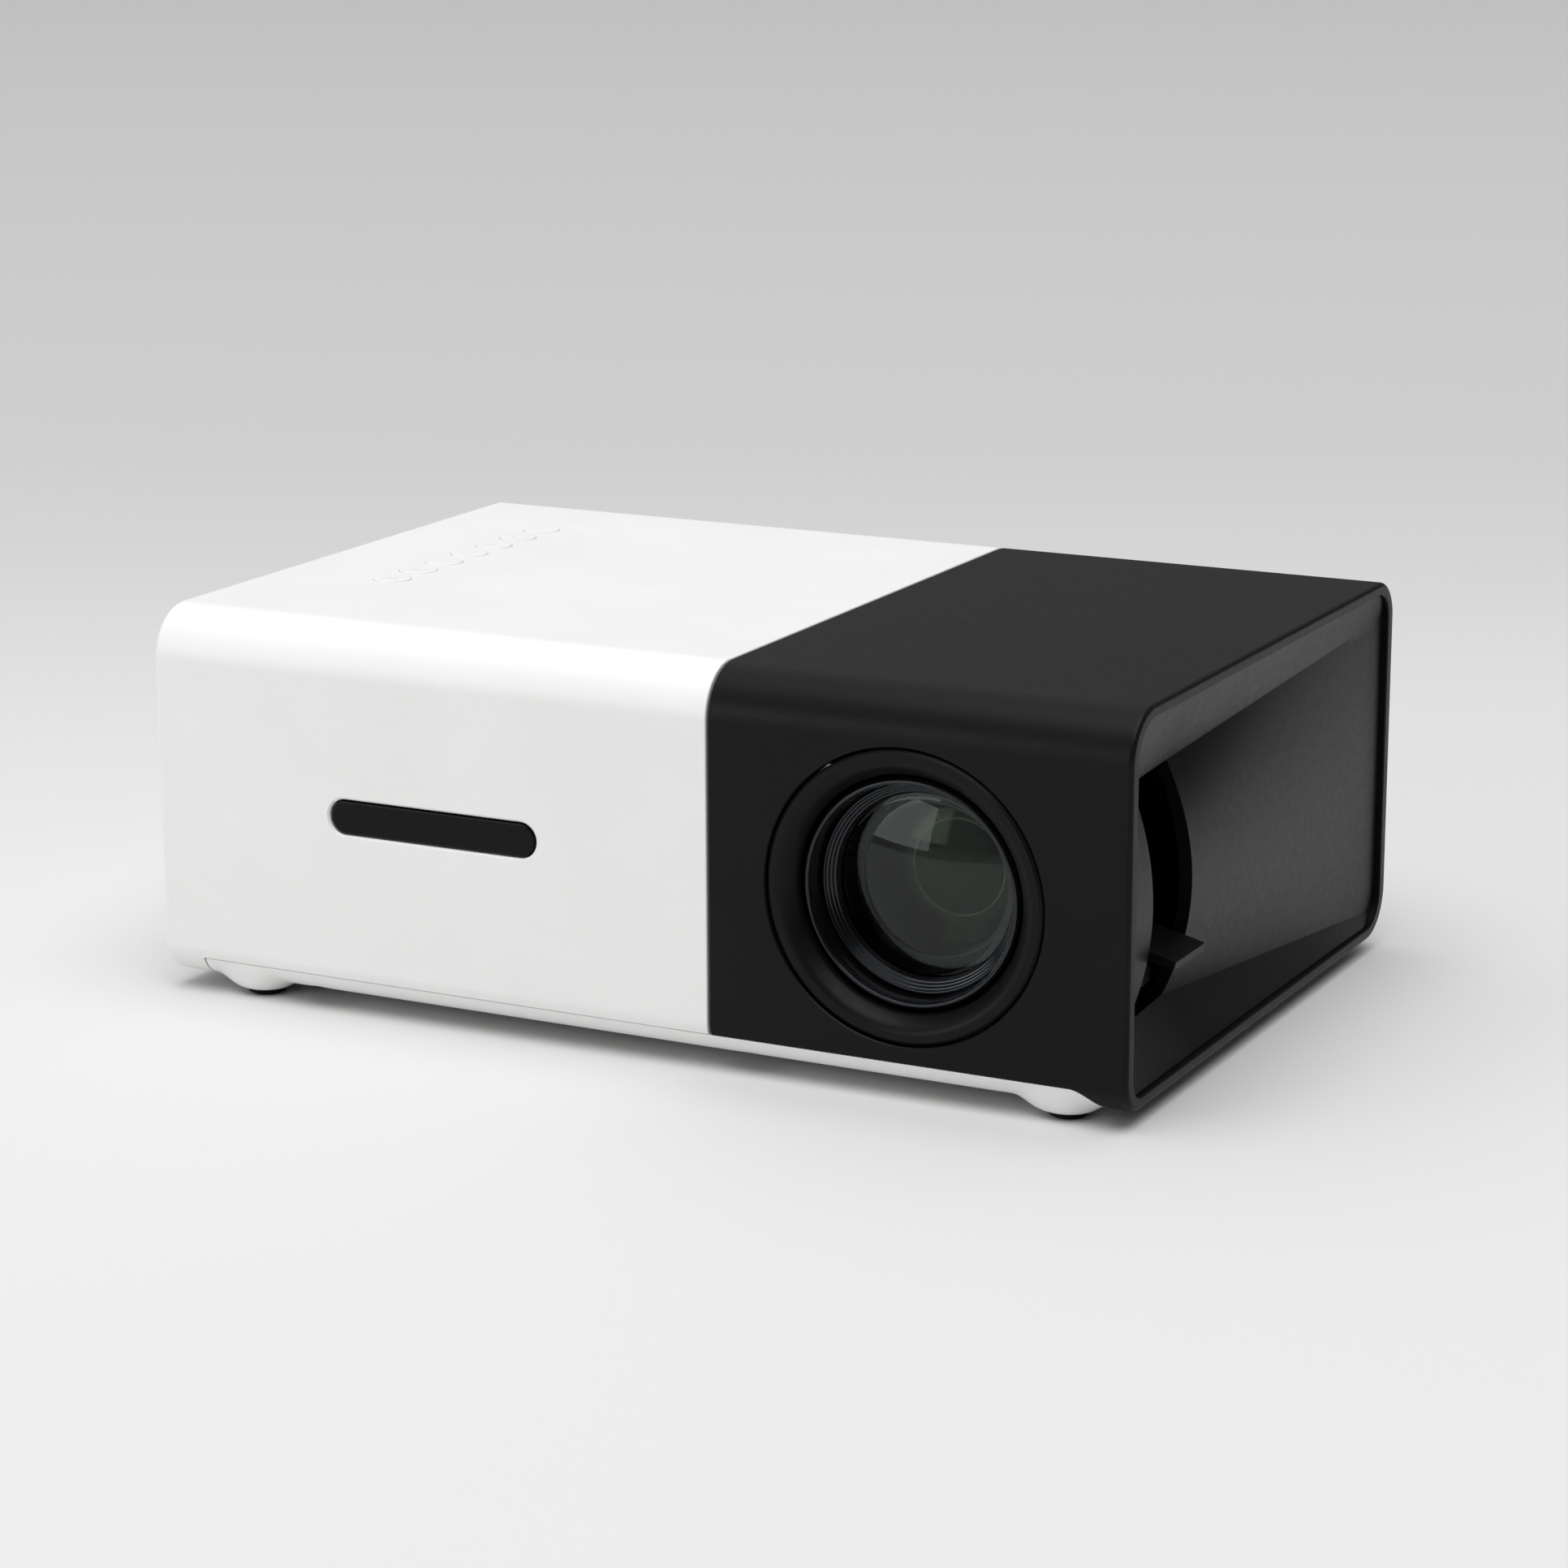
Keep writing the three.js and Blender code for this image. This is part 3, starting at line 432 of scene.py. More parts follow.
BY_SLOT = {
    "white_plastic": WHITE,
    "black_plastic": BLACK,
    "inner_black_plastic": INNER,
    "gloss_black": GLOSS,
    "foot_rubber": RUBBER,
    "optical_glass": OPTIC,
    "mirror_coat": MIRROR,
    "aluminium": ALUMINIUM,
    "plated_steel": STEEL,
    "brass": BRASS,
    "circuit_board": BOARD,
    "led_phosphor": LED,
    "ribbon_film": FILM,
    "speaker_cone": CONE,
}


# ---- Shells ----


def outline(inset, depth_inset=None, steps=14):
    """The body's end outline in (y, z), shrunk all round."""
    depth_inset = inset if depth_inset is None else depth_inset
    y0, y1 = Y0 + depth_inset, Y1 - depth_inset
    z0, z1 = FLOOR_Z + inset, TOP_Z - inset
    corners = [(y1, z0, "bottomRear"), (y1, z1, "topRear"), (y0, z1, "topFront"), (y0, z0, "bottomFront")]
    out = []
    for k, (y, z, name) in enumerate(corners):
        r = max(CORNERS[name] - inset, 0.4)
        cy = y - math.copysign(r, y)
        cz = z + r if name.startswith("bottom") else z - r
        for s in range(steps + 1):
            a = math.pi / 2 * (k - 1 + s / steps)
            out.append((cy + r * math.cos(a), cz + r * math.sin(a)))
    return out


def section(x, inset, depth_inset=None):
    return flat_ring("x", outline(inset, depth_inset), x)


def fillet(x, radius, side, steps=5):
    """Rings round an outer edge at x; side is -1 at a left end and 1 at a right end."""
    rings = []
    for k in range(steps + 1):
        t = math.pi / 2 * k / steps
        rings.append(section(x - side * radius * (1 - math.cos(t)), radius * (1 - math.sin(t))))
    return rings if side < 0 else rings[::-1]


def slot_outline(u, v0, v1, half):
    """A slot with round ends along v."""
    arc = [math.pi * k / 8 for k in range(9)]
    high_end = [(u + half * math.cos(a), v1 - half + half * math.sin(a)) for a in arc]
    low_end = [(u - half * math.cos(a), v0 + half - half * math.sin(a)) for a in arc]
    return high_end + low_end


def pill_outline(u0, u1, v, radius):
    """A slot with round ends along u."""
    arc = [math.pi * k / 24 - math.pi / 2 for k in range(25)]
    right = [(u1 - radius + radius * math.cos(a), v + radius * math.sin(a)) for a in arc]
    return right + [(u0 + radius - radius * math.cos(a), v - radius * math.sin(a)) for a in arc]


def flared_hole(axis, outer, inner, outline_at, flare):
    """A cutter through a wall whose outer edge is chamfered; outer lies beyond the surface at `outer`."""
    way = 1 if outer > inner else -1
    layers = [
        (inner, outline_at(0)),
        (outer - way * flare, outline_at(0)),
        (outer, outline_at(flare)),
        (outer + way * 3, outline_at(flare)),
    ]
    return stack("cutter", axis, layers)


def flared_bore(axis, radius, outer, inner, flare, flare_depth, at, segments=48):
    """A round cutter from `inner` out through the surface at `outer`, wider at its mouth."""
    way = 1 if outer > inner else -1
    throat, mouth = outer - way * flare_depth, outer + way * 2
    wide = radius + flare
    profile = [(0, inner), (radius, inner), (radius, throat), (wide, outer), (wide, mouth), (0, mouth)]
    return turned("cutter", profile, axis, at, segments)


def under_cut(left, right_edge):
    """The space under the shells that the base fills, drawn from the front."""
    last_x = right_edge[0][0]
    drawn = [(left, -5), (last_x, -5)] + right_edge + [(left, SEAM_Z)]
    return stack("cutter", "y", [(-90, drawn), (90, drawn)])


def socket_holes():
    cutters = []
    for node in ("hdmi_socket", "usb_socket", "card_socket"):
        low, high = box_mm(node)

        def grown(flare, low=low, high=high):
            gap = SOCKET_GAP + flare
            return round_rect(low[0] - gap, high[0] + gap, low[2] - gap, high[2] + gap, 0.7 + flare)

        cutters.append(flared_hole("y", Y1, Y1 - CUT_DEPTH, grown, 0.35))
    for node in ("power_jack", "av_jack", "headphone_jack"):
        low, high = box_mm(node)
        radius = 4.6 if node == "power_jack" else 3.1
        centre = (0, (low[1] + high[1]) / 2, high[2] - (high[1] - low[1]) / 2)
        cutters.append(flared_bore("x", radius, SHELL_LOW[0], SHELL_LOW[0] + CUT_DEPTH, 0.35, 0.35, centre))
    return cutters


def end_vents():
    low, high = box_mm("fan_frame")
    centre = (low[1] + high[1]) / 2
    x0 = SHELL_LOW[0]
    cutters = []
    for i in range(9):
        y = centre - 16 + 4 * i

        def vent(flare, y=y):
            return slot_outline(y, 12 - flare, 38 + flare, 0.9 + flare)

        cutters.append(flared_hole("x", x0, x0 + 3, vent, 0.25))
    return cutters


def speaker_holes():
    low, high = box_mm("speaker")
    cy, cz = (low[1] + high[1]) / 2, (low[2] + high[2]) / 2
    x0 = SHELL_LOW[0]
    cutters = []
    for row in (-1, 0, 1):
        count = 5 - abs(row)
        for i in range(count):
            at = (0, cy + (i - (count - 1) / 2) * 4.2, cz + row * 3.6)
            cutters.append(flared_bore("x", 1, x0, x0 + 3, 0.2, 0.2, at, 24))
    return cutters


KEY_NODES = [f"key_{name}" for name in ("power", "menu", "back", "left", "up", "down", "right")]


def key_holes():
    cutters = []
    for node in KEY_NODES:
        low, high = box_mm(node)
        at = ((low[0] + high[0]) / 2, (low[1] + high[1]) / 2, 0)
        cutters.append(flared_bore("z", KEY_RADIUS + KEY_GAP, TOP_Z, TOP_Z - CUT_DEPTH, 0.05, 0.05, at))
    return cutters


def white_shell():
    left, right = SHELL_LOW[0], SHELL_HIGH[0]
    rings = fillet(left, END_ROUND, -1)
    rings += [section(-20, 0)] + fillet(right, 0.2, 1, 3)
    rings += [section(right, WALL - 0.2), section(right - 0.2, WALL), section(left + WALL, WALL)]
    shell = loft("white_shell_fine", rings)
    window = flared_hole("y", Y0, Y0 + 4, window_outline, 0.25)
    cut(shell, [under_cut(BASE_LOW[0] - GAP, [(80, SEAM_Z)]), window])
    cut(shell, socket_holes() + end_vents() + speaker_holes() + key_holes())
    dress(shell, WHITE, ["white_shell"])


def window_outline(flare):
    low, high = WINDOW_LOW, WINDOW_HIGH
    z = (low[2] + high[2]) / 2
    return pill_outline(low[0] + 0.75 - flare, high[0] - 0.75 + flare, z, 2.22 + flare)


def lens_housing():
    left, right = HOUSING_LOW[0], HOUSING_HIGH[0]
    rings = [section(left + 0.2, WALL), section(left, WALL - 0.2)] + fillet(left, 0.2, -1, 3)
    rings += fillet(right, END_ROUND - 0.2, 1)
    rings += [section(right - 0.01, RIM - 0.15, RIM_DEPTH - 0.15), section(right - 0.15, RIM, RIM_DEPTH)]
    ledge = WALL + 0.9
    rings += [section(LEDGE_X, RIM, RIM_DEPTH), section(LEDGE_X, ledge), section(LEDGE_X - 2, ledge)]
    rings += [section(LEDGE_X - 2, WALL)]
    sleeve = loft("lens_housing_fine", rings, closed=True)
    r = (TRIM_HIGH[0] - TRIM_LOW[0]) / 2 + 0.28
    hole = flared_bore("y", r, Y0, Y0 + CUT_DEPTH, 0.12, 0.15, LENS_AT, 160)
    curve = [BASE_TIP - (BASE_TIP - BASE_SHOULDER + 1) * k / 14 for k in range(15)]
    tip_edge = [(BASE_TIP + 0.1, FLOOR_Z)] + [(x, base_top(x) + 0.07) for x in curve]
    cut(sleeve, [under_cut(-40, tip_edge), hole])
    dress(sleeve, BLACK, ["lens_housing"])


def base_top(x):
    """Height of the base's upper edge, which runs down to a point under the lens housing."""
    flat = BASE_SHOULDER - 1
    t = min(max((x - flat) / (BASE_TIP - flat), 0), 1)
    return BASE_EDGE - (BASE_EDGE - FLOOR_Z - 0.12) * t ** 1.8


def swell(x, y, z, top):
    """Lowers a point of the underside near a foot; the upper edge stays where it is."""
    for foot_x, foot_y in foot_spots():
        across = (x - foot_x) / (SWELL_STRETCH if x < foot_x else 1)
        near, far = SWELL_REACH
        t = min(max((math.hypot(across, y - foot_y) - near) / (far - near), 0), 1)
        drop = 1 - t * t * (3 - 2 * t)
        z -= max(z - SWELL_Z, 0) * drop * min(1, (top - z) / 1.2)
    return z


def base_section(x, top):
    """One slice of the base: the lower part of the body outline below `top`."""
    steps = 24
    arcs = {}
    for y, name in ((Y1, "bottomRear"), (Y0, "bottomFront")):
        r = CORNERS[name]
        cy, cz = y - math.copysign(r, y), FLOOR_Z + r
        reach = math.acos(min(1, (cz - top) / r))
        angles = [reach * (1 - k / steps) for k in range(steps + 1)]
        arcs[name] = [(cy + math.copysign(r * math.sin(a), y), cz - r * math.cos(a)) for a in angles]
    rear = [Y1 - 6.5 - 0.5 * k for k in range(14)]
    front = [Y0 + 11 - 0.5 * k for k in range(14)]
    under = [(y, FLOOR_Z) for y in rear + [15, 0, -15] + front]
    ring = arcs["bottomRear"] + under + arcs["bottomFront"][::-1]
    ring = [(y, swell(x, y, z, top)) for y, z in ring]
    return flat_ring("x", ring + [(Y0 + 6, top), (Y1 - 8, top)], x)


def base_plate():
    left = BASE_LOW[0]
    stations = [(left, BASE_EDGE - 0.15)]
    xs = [left + 0.15 + 0.4 * k for k in range(29)] + [-30, 0, 30] + [47 + 0.4 * k for k in range(24)]
    xs += [BASE_SHOULDER - 1 + (BASE_TIP - BASE_SHOULDER + 1) * k / 14 for k in range(1, 15)]
    stations += [(x, base_top(x)) for x in xs]
    plate = loft("base_plate_fine", [base_section(x, z) for x, z in stations])
    tripod_low, tripod_high = box_mm("tripod_insert")
    tx, ty = (tripod_low[0] + tripod_high[0]) / 2, (tripod_low[1] + tripod_high[1]) / 2
    boolean(plate, disc("boss", "z", 7.2, 3.5, 11, (tx, ty, 0), 64), "UNION")
    cutters = [disc("cutter", "z", 2.62, -1, 1.9, (x, y, 0)) for x, y in foot_spots()]
    well = [(0, -1), (5.2, -1), (5.2, FLOOR_Z), (4.85, FLOOR_Z + 0.3), (4.85, 9.3), (0, 9.3)]
    cutters.append(turned("cutter", well, "z", (tx, ty, 0), 64))
    for node in [n for n in frame["nodes"] if n.startswith(("screw_shell", "screw_housing"))]:
        low, high = box_mm(node)
        at = ((low[0] + high[0]) / 2, (low[1] + high[1]) / 2, 0)
        bore = [(0, -1), (3.05, -1), (3.05, FLOOR_Z), (2.8, FLOOR_Z + 0.25), (2.8, 3.6)]
        bore += [(1.5, 3.6), (1.5, 6), (0, 6)]
        cutters.append(turned("cutter", bore, "z", at, 40))
    for i in range(8):
        x = -46 + 4 * i

        def vent(flare, x=x):
            return slot_outline(x, 6 - flare, 30 + flare, 1 + flare)

        cutters.append(flared_hole("z", FLOOR_Z, 6, vent, 0.2))
    cut(plate, cutters)
    dress(plate, WHITE, ["base_plate"])


def foot_spots():
    spots = []
    for node in sorted(n for n in frame["nodes"] if n.startswith("foot_pad")):
        low, high = box_mm(node)
        spots.append(((low[0] + high[0]) / 2, (low[1] + high[1]) / 2))
    return spots


def foot_pads():
    for node in sorted(n for n in frame["nodes"] if n.startswith("foot_pad")):
        low, high = box_mm(node)
        at = ((low[0] + high[0]) / 2, (low[1] + high[1]) / 2, 0)
        profile = [(0, 0), (1.9, 0), (2.3, 0.25), (2.38, 0.6), (2.38, 1.6), (0, 1.6)]
        pad = turned(f"{node}_fine", profile, "z", at, 48, 0.1)
        dress(pad, RUBBER, [node])


# ---- Side panel ----


def scoop(y):
    """Half height of the convex middle, and the face's x at the crease and on the centre line."""
    back = min(max((y - SLOT[1]) / (41 - SLOT[1]), 0), 1)
    front = min(max((SLOT[1] - y) / (SLOT[1] - SLOT[0]), 0), 1.5)
    return SLOT[2] + 5.1 * back, 58.6 + 3.9 * back + 0.8 * front, 62.1 + 0.45 * back + 0.25 * front


def panel_face(y, step, arc_steps):
    half, crease, middle = scoop(y)
    if step in (0, arc_steps + 2):
        return PANEL_FACE, LENS_Z + 1.1 + 22.6 * (1 if step else -1)
    across = (step - 1) / arc_steps * 2 - 1
    return crease + (middle - crease) * (1 - across * across), LENS_Z + half * across


def side_panel():
    arc_steps = 48
    stations = [-42 + 2 * k for k in range(43)]
    rows = []
    for y in stations:
        face = [panel_face(y, s, arc_steps) for s in range(arc_steps + 3)]
        front = [(x, y, z) for x, z in face]
        back = [(x - PANEL_THICKNESS, y, z) for x, z in reversed(face)]
        rows.append(front + back)
    skin = loft("side_panel_fine", rows)
    boolean(skin, through("x", 50, 70, outline(RIM + PANEL_GAP, RIM_DEPTH + PANEL_GAP)), "INTERSECT")
    y0, y1, half = SLOT
    slot_shape = round_rect(y0, y1, LENS_Z - half, LENS_Z + half, 0.25, 3)
    boolean(skin, through("x", 50, 70, slot_shape), "DIFFERENCE")
    bevelled(skin, 0.14, 62)
    dress(skin, PANEL, ["side_panel"], sharp=16)


# ---- Lens ----


def trim_ring():
    """The rounded ring round the lens, with its sleeve behind."""
    front, rear = TRIM_LOW[1], TRIM_HIGH[1]
    inner, sleeve, outer = 13.95, 15.9, (TRIM_HIGH[0] - TRIM_LOW[0]) / 2
    crown = []
    for k in range(15):
        t = k / 14
        hollow = (1 - math.sin(math.pi / 2 * min(1, t * 1.25))) ** 1.2
        crown.append((inner + (outer - 0.35 - inner) * t, front + 1.9 * hollow + 0.02))
    outside = [(outer, front + 0.3), (outer, rear), (sleeve, rear), (sleeve, -40.3)]
    profile = [(inner, rear - 4.3)] + crown + outside
    ring = turned("lens_trim_ring_fine", profile, "y", LENS_AT, 192)
    dress(ring, BLACK, ["lens_trim_ring"])


def lens_group():
    at = LENS_AT
    front = BARREL_LOW[1]
    r = (BARREL_HIGH[0] - BARREL_LOW[0]) / 2
    profile = [
        (r, front + 0.4), (r, BARREL_HIGH[1]), (10.6, BARREL_HIGH[1]), (10.6, -18.5), (9, -18.5), (9, -26.3),
        (5.65, -26.3), (5.65, -27.5), (8.95, -27.5), (8.95, -34.1), (12.6, -34.1), (12.6, -40.5),
        (12.85, front), (13.15, front),
    ]
    barrel = turned("lens_barrel_fine", profile, "y", at, 192, 0.12)
    dress(barrel, RINGS, ["lens_barrel"], "lens_group")
    treads = [(k, riser) for k in range(4) for riser in (0, 1)]
    steps = [(12 - 0.31 * k - 0.06 * riser, -38.3 + 0.36 * k + 0.3 * riser) for k, riser in treads]
    retainer = [(10.75, -36.5), (12.3, -36.5), (12.3, -38.3)] + steps
    ring = turned("lens_retaining_ring_fine", retainer, "y", at, 192, 0.1)
    dress(ring, RINGS, ["lens_retaining_ring"], "lens_group")
    edge = turned("aperture_edge", [(5.66, -27.6), (5.9, -27.6), (5.9, -27.35), (5.66, -27.35)], "y", at, 96)
    dress(edge, ALUMINIUM, body="lens_group")
    for place, profile, glass in (
        ("front", dome_profile(12.2, 10.5, -36.2, -34.5, 2.1, 0), FRONT_GLASS),
        ("middle", dome_profile(8.6, 8.6, -31.6, -29.6, 1.6, 1.2), INNER_GLASS),
        ("rear", dome_profile(10.2, 10.2, -17.4, -15, 0, 2), OPTIC),
    ):
        lens = turned(f"{place}_lens_fine", profile, "y", at, 128)
        dress(lens, glass, [f"{place}_lens_element"], "lens_group")


def dome_profile(radius, dome_radius, front, rear, front_dome, rear_dome):
    """A lens element's half section, from its front pole to its rear pole."""
    steps = 20
    spread = [k / steps for k in range(steps)]
    face = [(dome_radius * t, front - front_dome * (1 - t * t)) for t in spread]
    back = [(dome_radius * t, rear + rear_dome * (1 - t * t)) for t in spread]
    return face + [(dome_radius, front), (radius, front), (radius, rear)] + back[::-1]


def focus_ring():
    """The ring behind the side panel, with the lever that reaches out through the slot."""
    front, rear = RING_LOW[1], RING_HIGH[1]
    inner, outer = 15.5, 17.8
    band = [(inner, front), (outer, front), (outer, rear), (inner, rear)]
    ring = turned("focus_ring_fine", band, "y", LENS_AT, 128, 0.2)
    y0, y1, half = front + 2, rear - 1.1, 0.6

    def arm_outline(inset):
        return round_rect(y0 + inset, y1 - inset, -half + inset, half - inset, 0.12, 2)

    full = arm_outline(0)
    arm = stack("arm", "x", [(16.6, full), (LEVER_REACH - 0.12, full), (LEVER_REACH, arm_outline(0.1))])
    arm.data.transform(Matrix.Translation(Vector(LENS_AT) * MM) @ Matrix.Rotation(-LEVER_ANGLE, 4, "Y"))
    boolean(ring, arm, "UNION")
    dress(ring, BLACK, ["focus_ring"], "focus_lever")


# ---- Window, keys, sockets ----


def ir_window():
    low, high = WINDOW_LOW, WINDOW_HIGH
    z = (low[2] + high[2]) / 2
    x0, x1 = low[0] + 1, high[0] - 1
    layers = [
        (low[1], pill_outline(x0 + 0.25, x1 - 0.25, z, 1.75)),
        (low[1] + 0.08, pill_outline(x0 + 0.08, x1 - 0.08, z, 1.92)),
        (low[1] + 0.25, pill_outline(x0, x1, z, 2.0)),
        (low[1] + 2.2, pill_outline(x0, x1, z, 2.0)),
        (low[1] + 2.2, pill_outline(x0 - 1, x1 + 1, z, 3.0)),
        (high[1], pill_outline(x0 - 1, x1 + 1, z, 3.0)),
    ]
    dress(stack("ir_window_fine", "y", layers), GLOSS, ["ir_window"])


def key_sign(name, size=0.85):
    """A small generic sign: an arrow, a bar, a ring."""
    s = size
    arrows = {"left": 180, "right": 0, "up": 90, "down": 270}
    if name in arrows:
        turn = math.radians(arrows[name])
        return [[(s * 1.2 * math.cos(turn + a), s * 1.2 * math.sin(turn + a)) for a in (0, 2.2, -2.2)]]
    if name == "menu":
        return [[(-s, v - 0.1), (s, v - 0.1), (s, v + 0.1), (-s, v + 0.1)] for v in (-0.55, 0, 0.55)]
    if name == "back":
        return [[(-s, 0), (-0.1, 0.6), (-0.1, 0.2), (s, 0.2), (s, -0.2), (-0.1, -0.2), (-0.1, -0.6)]]
    arc = [math.radians(120 + 300 * k / 24) for k in range(25)]
    ring = [(s * math.cos(a), s * math.sin(a)) for a in arc]
    ring += [(0.7 * s * math.cos(a), 0.7 * s * math.sin(a)) for a in arc[::-1]]
    return [ring, [(-0.12, 0.2), (0.12, 0.2), (0.12, 1.1), (-0.12, 1.1)]]


def keys():
    for node in KEY_NODES:
        low, high = box_mm(node)
        x, y = (low[0] + high[0]) / 2, (low[1] + high[1]) / 2
        top = high[2] - 0.12
        face = [(KEY_RADIUS - 0.25, top), (KEY_RADIUS * 0.6, top - 0.03), (0, top - 0.04)]
        rim = [(KEY_RADIUS, top - 0.12), (KEY_RADIUS - 0.05, top - 0.04)]
        profile = [(0, low[2]), (2.95, low[2]), (2.95, 45.3), (KEY_RADIUS, 45.3)] + rim + face
        cap = turned(f"{node}_fine", profile, "z", (x, y, 0), 64)
        signs = [stack("sign", "z", [(top - 0.08, s), (top + 1, s)], (x, y, 0)) for s in key_sign(node[4:])]
        cut(cap, signs)
        dress(cap, WHITE, [node], f"button_{node[4:]}")


def rear_sockets():
    for node, tongue in (("hdmi_socket", 1.2), ("usb_socket", 1.9), ("card_socket", 0)):
        low, high = box_mm(node)
        wall = 0.45

        def shape(inset, low=low, high=high):
            return round_rect(low[0] + inset, high[0] - inset, low[2] + inset, high[2] - inset, 0.6)

        outside = [(low[1], shape(0)), (high[1] - 0.1, shape(0)), (high[1], shape(0.1))]
        inside = [(high[1], shape(wall - 0.05)), (high[1] - 0.1, shape(wall)), (low[1] + 2, shape(wall))]
        layers = outside + inside
        shell = stack(f"{node}_fine", "y", layers)
        dress(shell, STEEL, [node])
        if tongue:
            middle = (low[2] + high[2]) / 2
            x0, x1, y0, y1 = low[0] + 2.5, high[0] - 2.5, low[1] + 1.8, high[1] - 1.2
            bar = cuboid(f"{node}_tongue", x0, x1, y0, y1, middle - tongue / 2, middle + tongue / 2)
            dress(bar, INNER)


def jacks():
    for node, nose, bore in (("power_jack", 4.2, 2.8), ("av_jack", 2.7, 1.8), ("headphone_jack", 2.7, 1.8)):
        low, high = box_mm(node)
        y = (low[1] + high[1]) / 2
        z = high[2] - (high[1] - low[1]) / 2
        front = low[0]
        body = cuboid(f"{node}_fine", front + 3.1, high[0], low[1], high[1], low[2], high[2], 0.2, 0.4)
        nose_face = [(0, front), (nose - 0.2, front), (nose, front + 0.2), (nose, front + 4), (0, front + 4)]
        boolean(body, turned("collar", nose_face, "x", (0, y, z), 48), "UNION")
        hole = [(0, -51), (bore, -51), (bore, front + 0.3), (bore + 0.3, front), (bore + 0.3, -68), (0, -68)]
        cut(body, [turned("cutter", hole, "x", (0, y, z), 48)])
        dress(body, INNER, [node])
        mouth = front + 0.8
        sleeve = [(bore - 0.02, -52), (bore - 0.02, mouth), (bore - 0.3, mouth), (bore - 0.3, -52)]
        dress(turned(f"{node}_contact", sleeve, "x", (0, y, z), 48), STEEL)
        if node == "power_jack":
            tip = front + 1.1
            pin = [(0, -51), (1, -51), (1, tip + 0.5), (0.6, tip), (0, tip)]
            dress(turned("power_jack_pin", pin, "x", (0, y, z), 32, 0.1), STEEL)


def tripod_insert():
    low, high = box_mm("tripod_insert")
    at = ((low[0] + high[0]) / 2, (low[1] + high[1]) / 2, 0)
    outer = (high[0] - low[0]) / 2
    pitch = 25.4 / 20
    thread = []
    z = low[2] + 0.4
    while z < high[2] - 1.6:
        thread += [(2.65, z), (3.15, z + pitch / 2)]
        z += pitch
    outside = [(0, high[2]), (outer, high[2]), (outer, low[2]), (3.5, low[2])]
    profile = outside + thread + [(2.65, high[2] - 1.3), (0, high[2] - 1.3)]
    dress(turned("tripod_insert_fine", profile, "z", at, 72), BRASS, ["tripod_insert"])


def base_screws():
    for node in sorted(n for n in frame["nodes"] if n.startswith(("screw_shell", "screw_housing"))):
        low, high = box_mm(node)
        at = ((low[0] + high[0]) / 2, (low[1] + high[1]) / 2, 0)
        base = low[2]
        head = [(0, base), (1.8, base), (2.3, base + 0.15), (2.5, base + 0.5), (2.5, base + 0.9)]
        profile = head + [(1.1, base + 0.9), (1.1, high[2]), (0, high[2])]
        body = turned(f"{node}_fine", profile, "z", at, 40)
        x, y = at[0], at[1]
        for dx, dy in ((1.3, 0.28), (0.28, 1.3)):
            cut(body, [cuboid("cutter", x - dx, x + dx, y - dy, y + dy, base - 1, base + 0.55, 0, 0.05)])
        dress(body, STEEL, [node])


def dress_cad_nodes():
    """Each CAD node that still shows gets its slot's procedural material."""
    slots = {entry["node"]: entry["material_slot"] for entry in frame["record"]["subparts"]}
    for name, node in frame["nodes"].items():
        for slot in node.material_slots:
            slot.material = BY_SLOT[slots[name]]


# ---- Camera, floor and lights ----


def camera():
    """The main view: 27 degrees round to the right, 14 degrees up, a long lens."""
    azimuth, elevation, roll = math.radians(27.0), math.radians(14.05), math.radians(-0.15)
    distance = 0.52328
    level = math.cos(elevation)
    back = Vector((math.sin(azimuth) * level, -math.cos(azimuth) * level, math.sin(elevation)))
    right = Vector((math.cos(azimuth), math.sin(azimuth), 0))
    up = back.cross(right)
    eye = Vector((0, 0, 0.024)) + back * distance - right * 0.00089 - up * 0.00028
    across = right * math.cos(roll) + up * math.sin(roll)
    upright = up * math.cos(roll) - right * math.sin(roll)
    data = bpy.data.cameras.new("camera")
    data.lens = 96.3
    data.sensor_width = 36
    data.clip_start = 0.01
    obj = bpy.data.objects.new("camera", data)
    bpy.context.scene.collection.objects.link(obj)
    obj.matrix_world = Matrix((
        (across.x, upright.x, back.x, eye.x),
        (across.y, upright.y, back.y, eye.y),
        (across.z, upright.z, back.z, eye.z),
        (0, 0, 0, 1),
    ))
    bpy.context.scene.camera = obj
    return azimuth


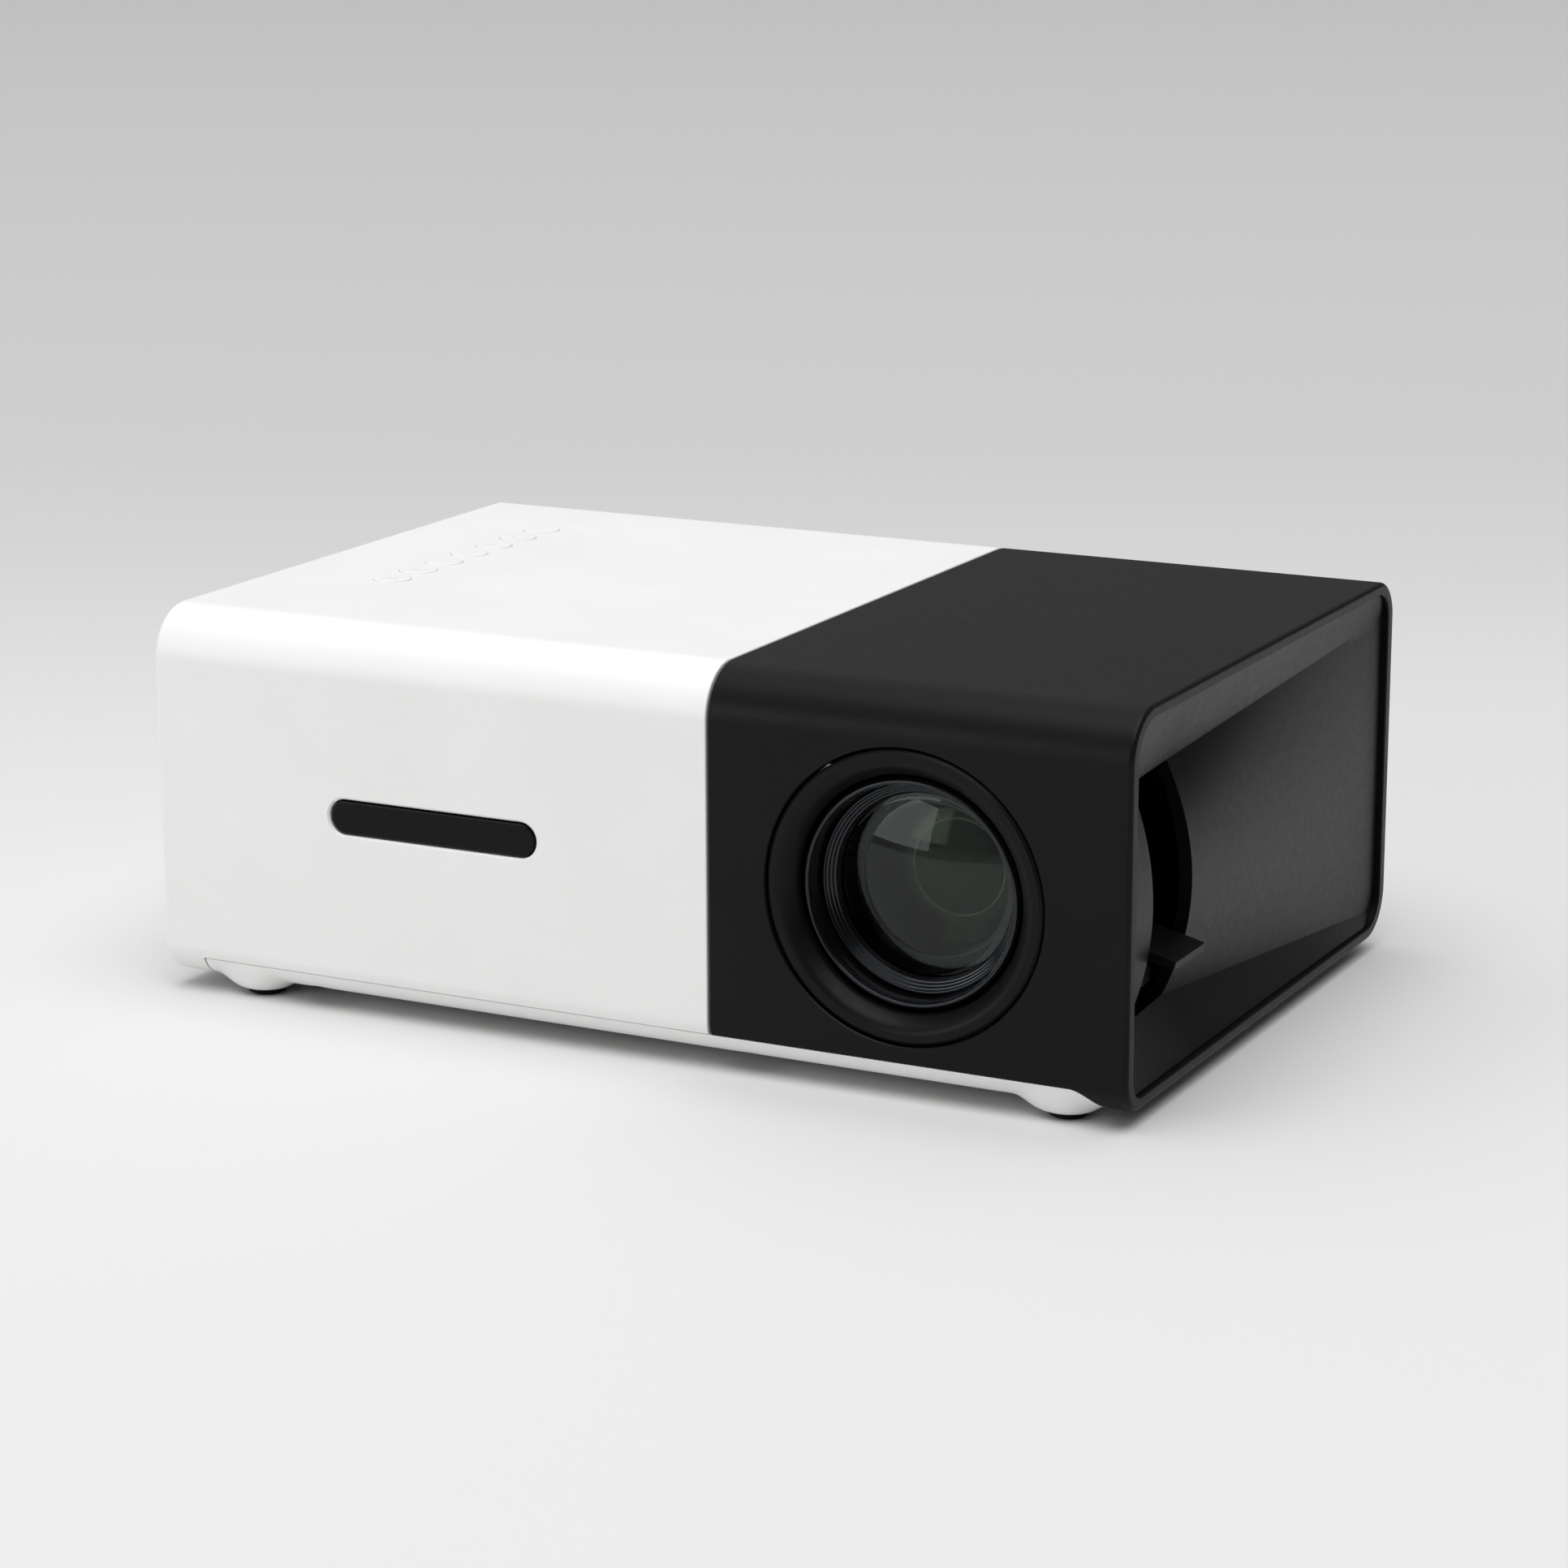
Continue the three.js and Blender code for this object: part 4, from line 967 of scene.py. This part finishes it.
def floor(azimuth):
    """A pale floor whose colour darkens slowly with distance behind the object: painted shade that stands in
    for the light falling off towards the back.
    """
    size = 6000
    corners = [(-size, -size, 0), (size, -size, 0), (size, size, 0), (-size, size, 0)]
    ground = make("floor", corners, [(0, 1, 2, 3)])
    material, tree, shader = node_material("studio_floor_painted_falloff")
    shader.inputs["Roughness"].default_value = 0.9
    shader.inputs["Specular IOR Level"].default_value = 0.1
    place = tree.nodes.new("ShaderNodeTexCoord")
    turn = tree.nodes.new("ShaderNodeMapping")
    turn.inputs["Rotation"].default_value = (0, 0, -azimuth)
    split = tree.nodes.new("ShaderNodeSeparateXYZ")
    ramp = tree.nodes.new("ShaderNodeValToRGB")
    spread = tree.nodes.new("ShaderNodeMapRange")
    near, far = -0.2, 2.0
    spread.inputs["From Min"].default_value = near
    spread.inputs["From Max"].default_value = far
    # Painted shade: these tones make the floor colour darker further back, in place of light falloff.
    tones = [(-0.2, 0.69), (-0.04, 0.70), (0.05, 0.67), (0.13, 0.64)]
    tones += [(0.26, 0.56), (0.39, 0.52), (1.0, 0.49), (2.0, 0.45)]
    stops = [((reach - near) / (far - near), tone) for reach, tone in tones]
    ramp.color_ramp.elements[0].position = stops[0][0]
    ramp.color_ramp.elements[1].position = stops[-1][0]
    for position, value in stops[1:-1]:
        ramp.color_ramp.elements.new(position)
    for element, (position, value) in zip(ramp.color_ramp.elements, stops):
        element.position = position
        element.color = (value, value, value * 0.995, 1)
    tree.links.new(place.outputs["Object"], turn.inputs["Vector"])
    tree.links.new(turn.outputs["Vector"], split.inputs["Vector"])
    tree.links.new(split.outputs["Y"], spread.inputs["Value"])
    tree.links.new(spread.outputs["Result"], ramp.inputs["Fac"])
    tree.links.new(ramp.outputs["Color"], shader.inputs["Base Color"])
    ground.data.materials.append(material)


def soft_light(name, direction, distance, width, height, power, colour=(1, 1, 1)):
    """A softbox that looks at the object from a direction."""
    data = bpy.data.lights.new(name, "AREA")
    data.shape = "RECTANGLE"
    data.size, data.size_y = width, height
    data.energy = power
    data.color = colour
    obj = bpy.data.objects.new(name, data)
    bpy.context.scene.collection.objects.link(obj)
    way = Vector(direction).normalized()
    obj.location = way * distance + Vector((0, 0, 0.02))
    obj.rotation_mode = "QUATERNION"
    obj.rotation_quaternion = way.to_track_quat("Z", "Y")
    return obj


def sky():
    """Soft studio dome: bright overhead and dim at the horizon."""
    world = bpy.data.worlds.new("studio")
    bpy.context.scene.world = world
    world.use_nodes = True
    tree = world.node_tree
    background = tree.nodes["Background"]
    place = tree.nodes.new("ShaderNodeTexCoord")
    lean = tree.nodes.new("ShaderNodeVectorMath")
    lean.operation = "DOT_PRODUCT"
    lean.inputs[1].default_value = (-0.25, 0.05, 0.97)
    ramp = tree.nodes.new("ShaderNodeValToRGB")
    tones = [(0.0, 0.06), (0.2, 0.11), (0.4, 0.23), (0.6, 0.42), (0.8, 0.72), (1.0, 1.0)]
    ramp.color_ramp.elements[0].position = tones[0][0]
    ramp.color_ramp.elements[1].position = tones[-1][0]
    for height, tone in tones[1:-1]:
        ramp.color_ramp.elements.new(height)
    for element, (height, tone) in zip(ramp.color_ramp.elements, tones):
        element.position = height
        element.color = (tone, tone, tone, 1)
    tree.links.new(place.outputs["Generated"], lean.inputs[0])
    tree.links.new(lean.outputs["Value"], ramp.inputs["Fac"])
    tree.links.new(ramp.outputs["Color"], background.inputs["Color"])
    background.inputs["Strength"].default_value = 1.0


def lights():
    sky()
    data = bpy.data.lights.new("overhead", "SUN")
    data.energy = 2.02
    data.angle = math.radians(60)
    sun = bpy.data.objects.new("overhead", data)
    bpy.context.scene.collection.objects.link(sun)
    sun.rotation_mode = "QUATERNION"
    sun.rotation_quaternion = Vector((0.15, -0.2, 0.97)).to_track_quat("Z", "Y")
    soft_light("front_left", (-0.56, -0.76, 0.22), 1.2, 0.8, 0.42, 3.1)
    bpy.context.scene.view_settings.view_transform = "Standard"


floor(camera())
lights()
white_shell()
lens_housing()
base_plate()
foot_pads()
side_panel()
trim_ring()
lens_group()
focus_ring()
ir_window()
keys()
rear_sockets()
jacks()
tripod_insert()
base_screws()
dress_cad_nodes()
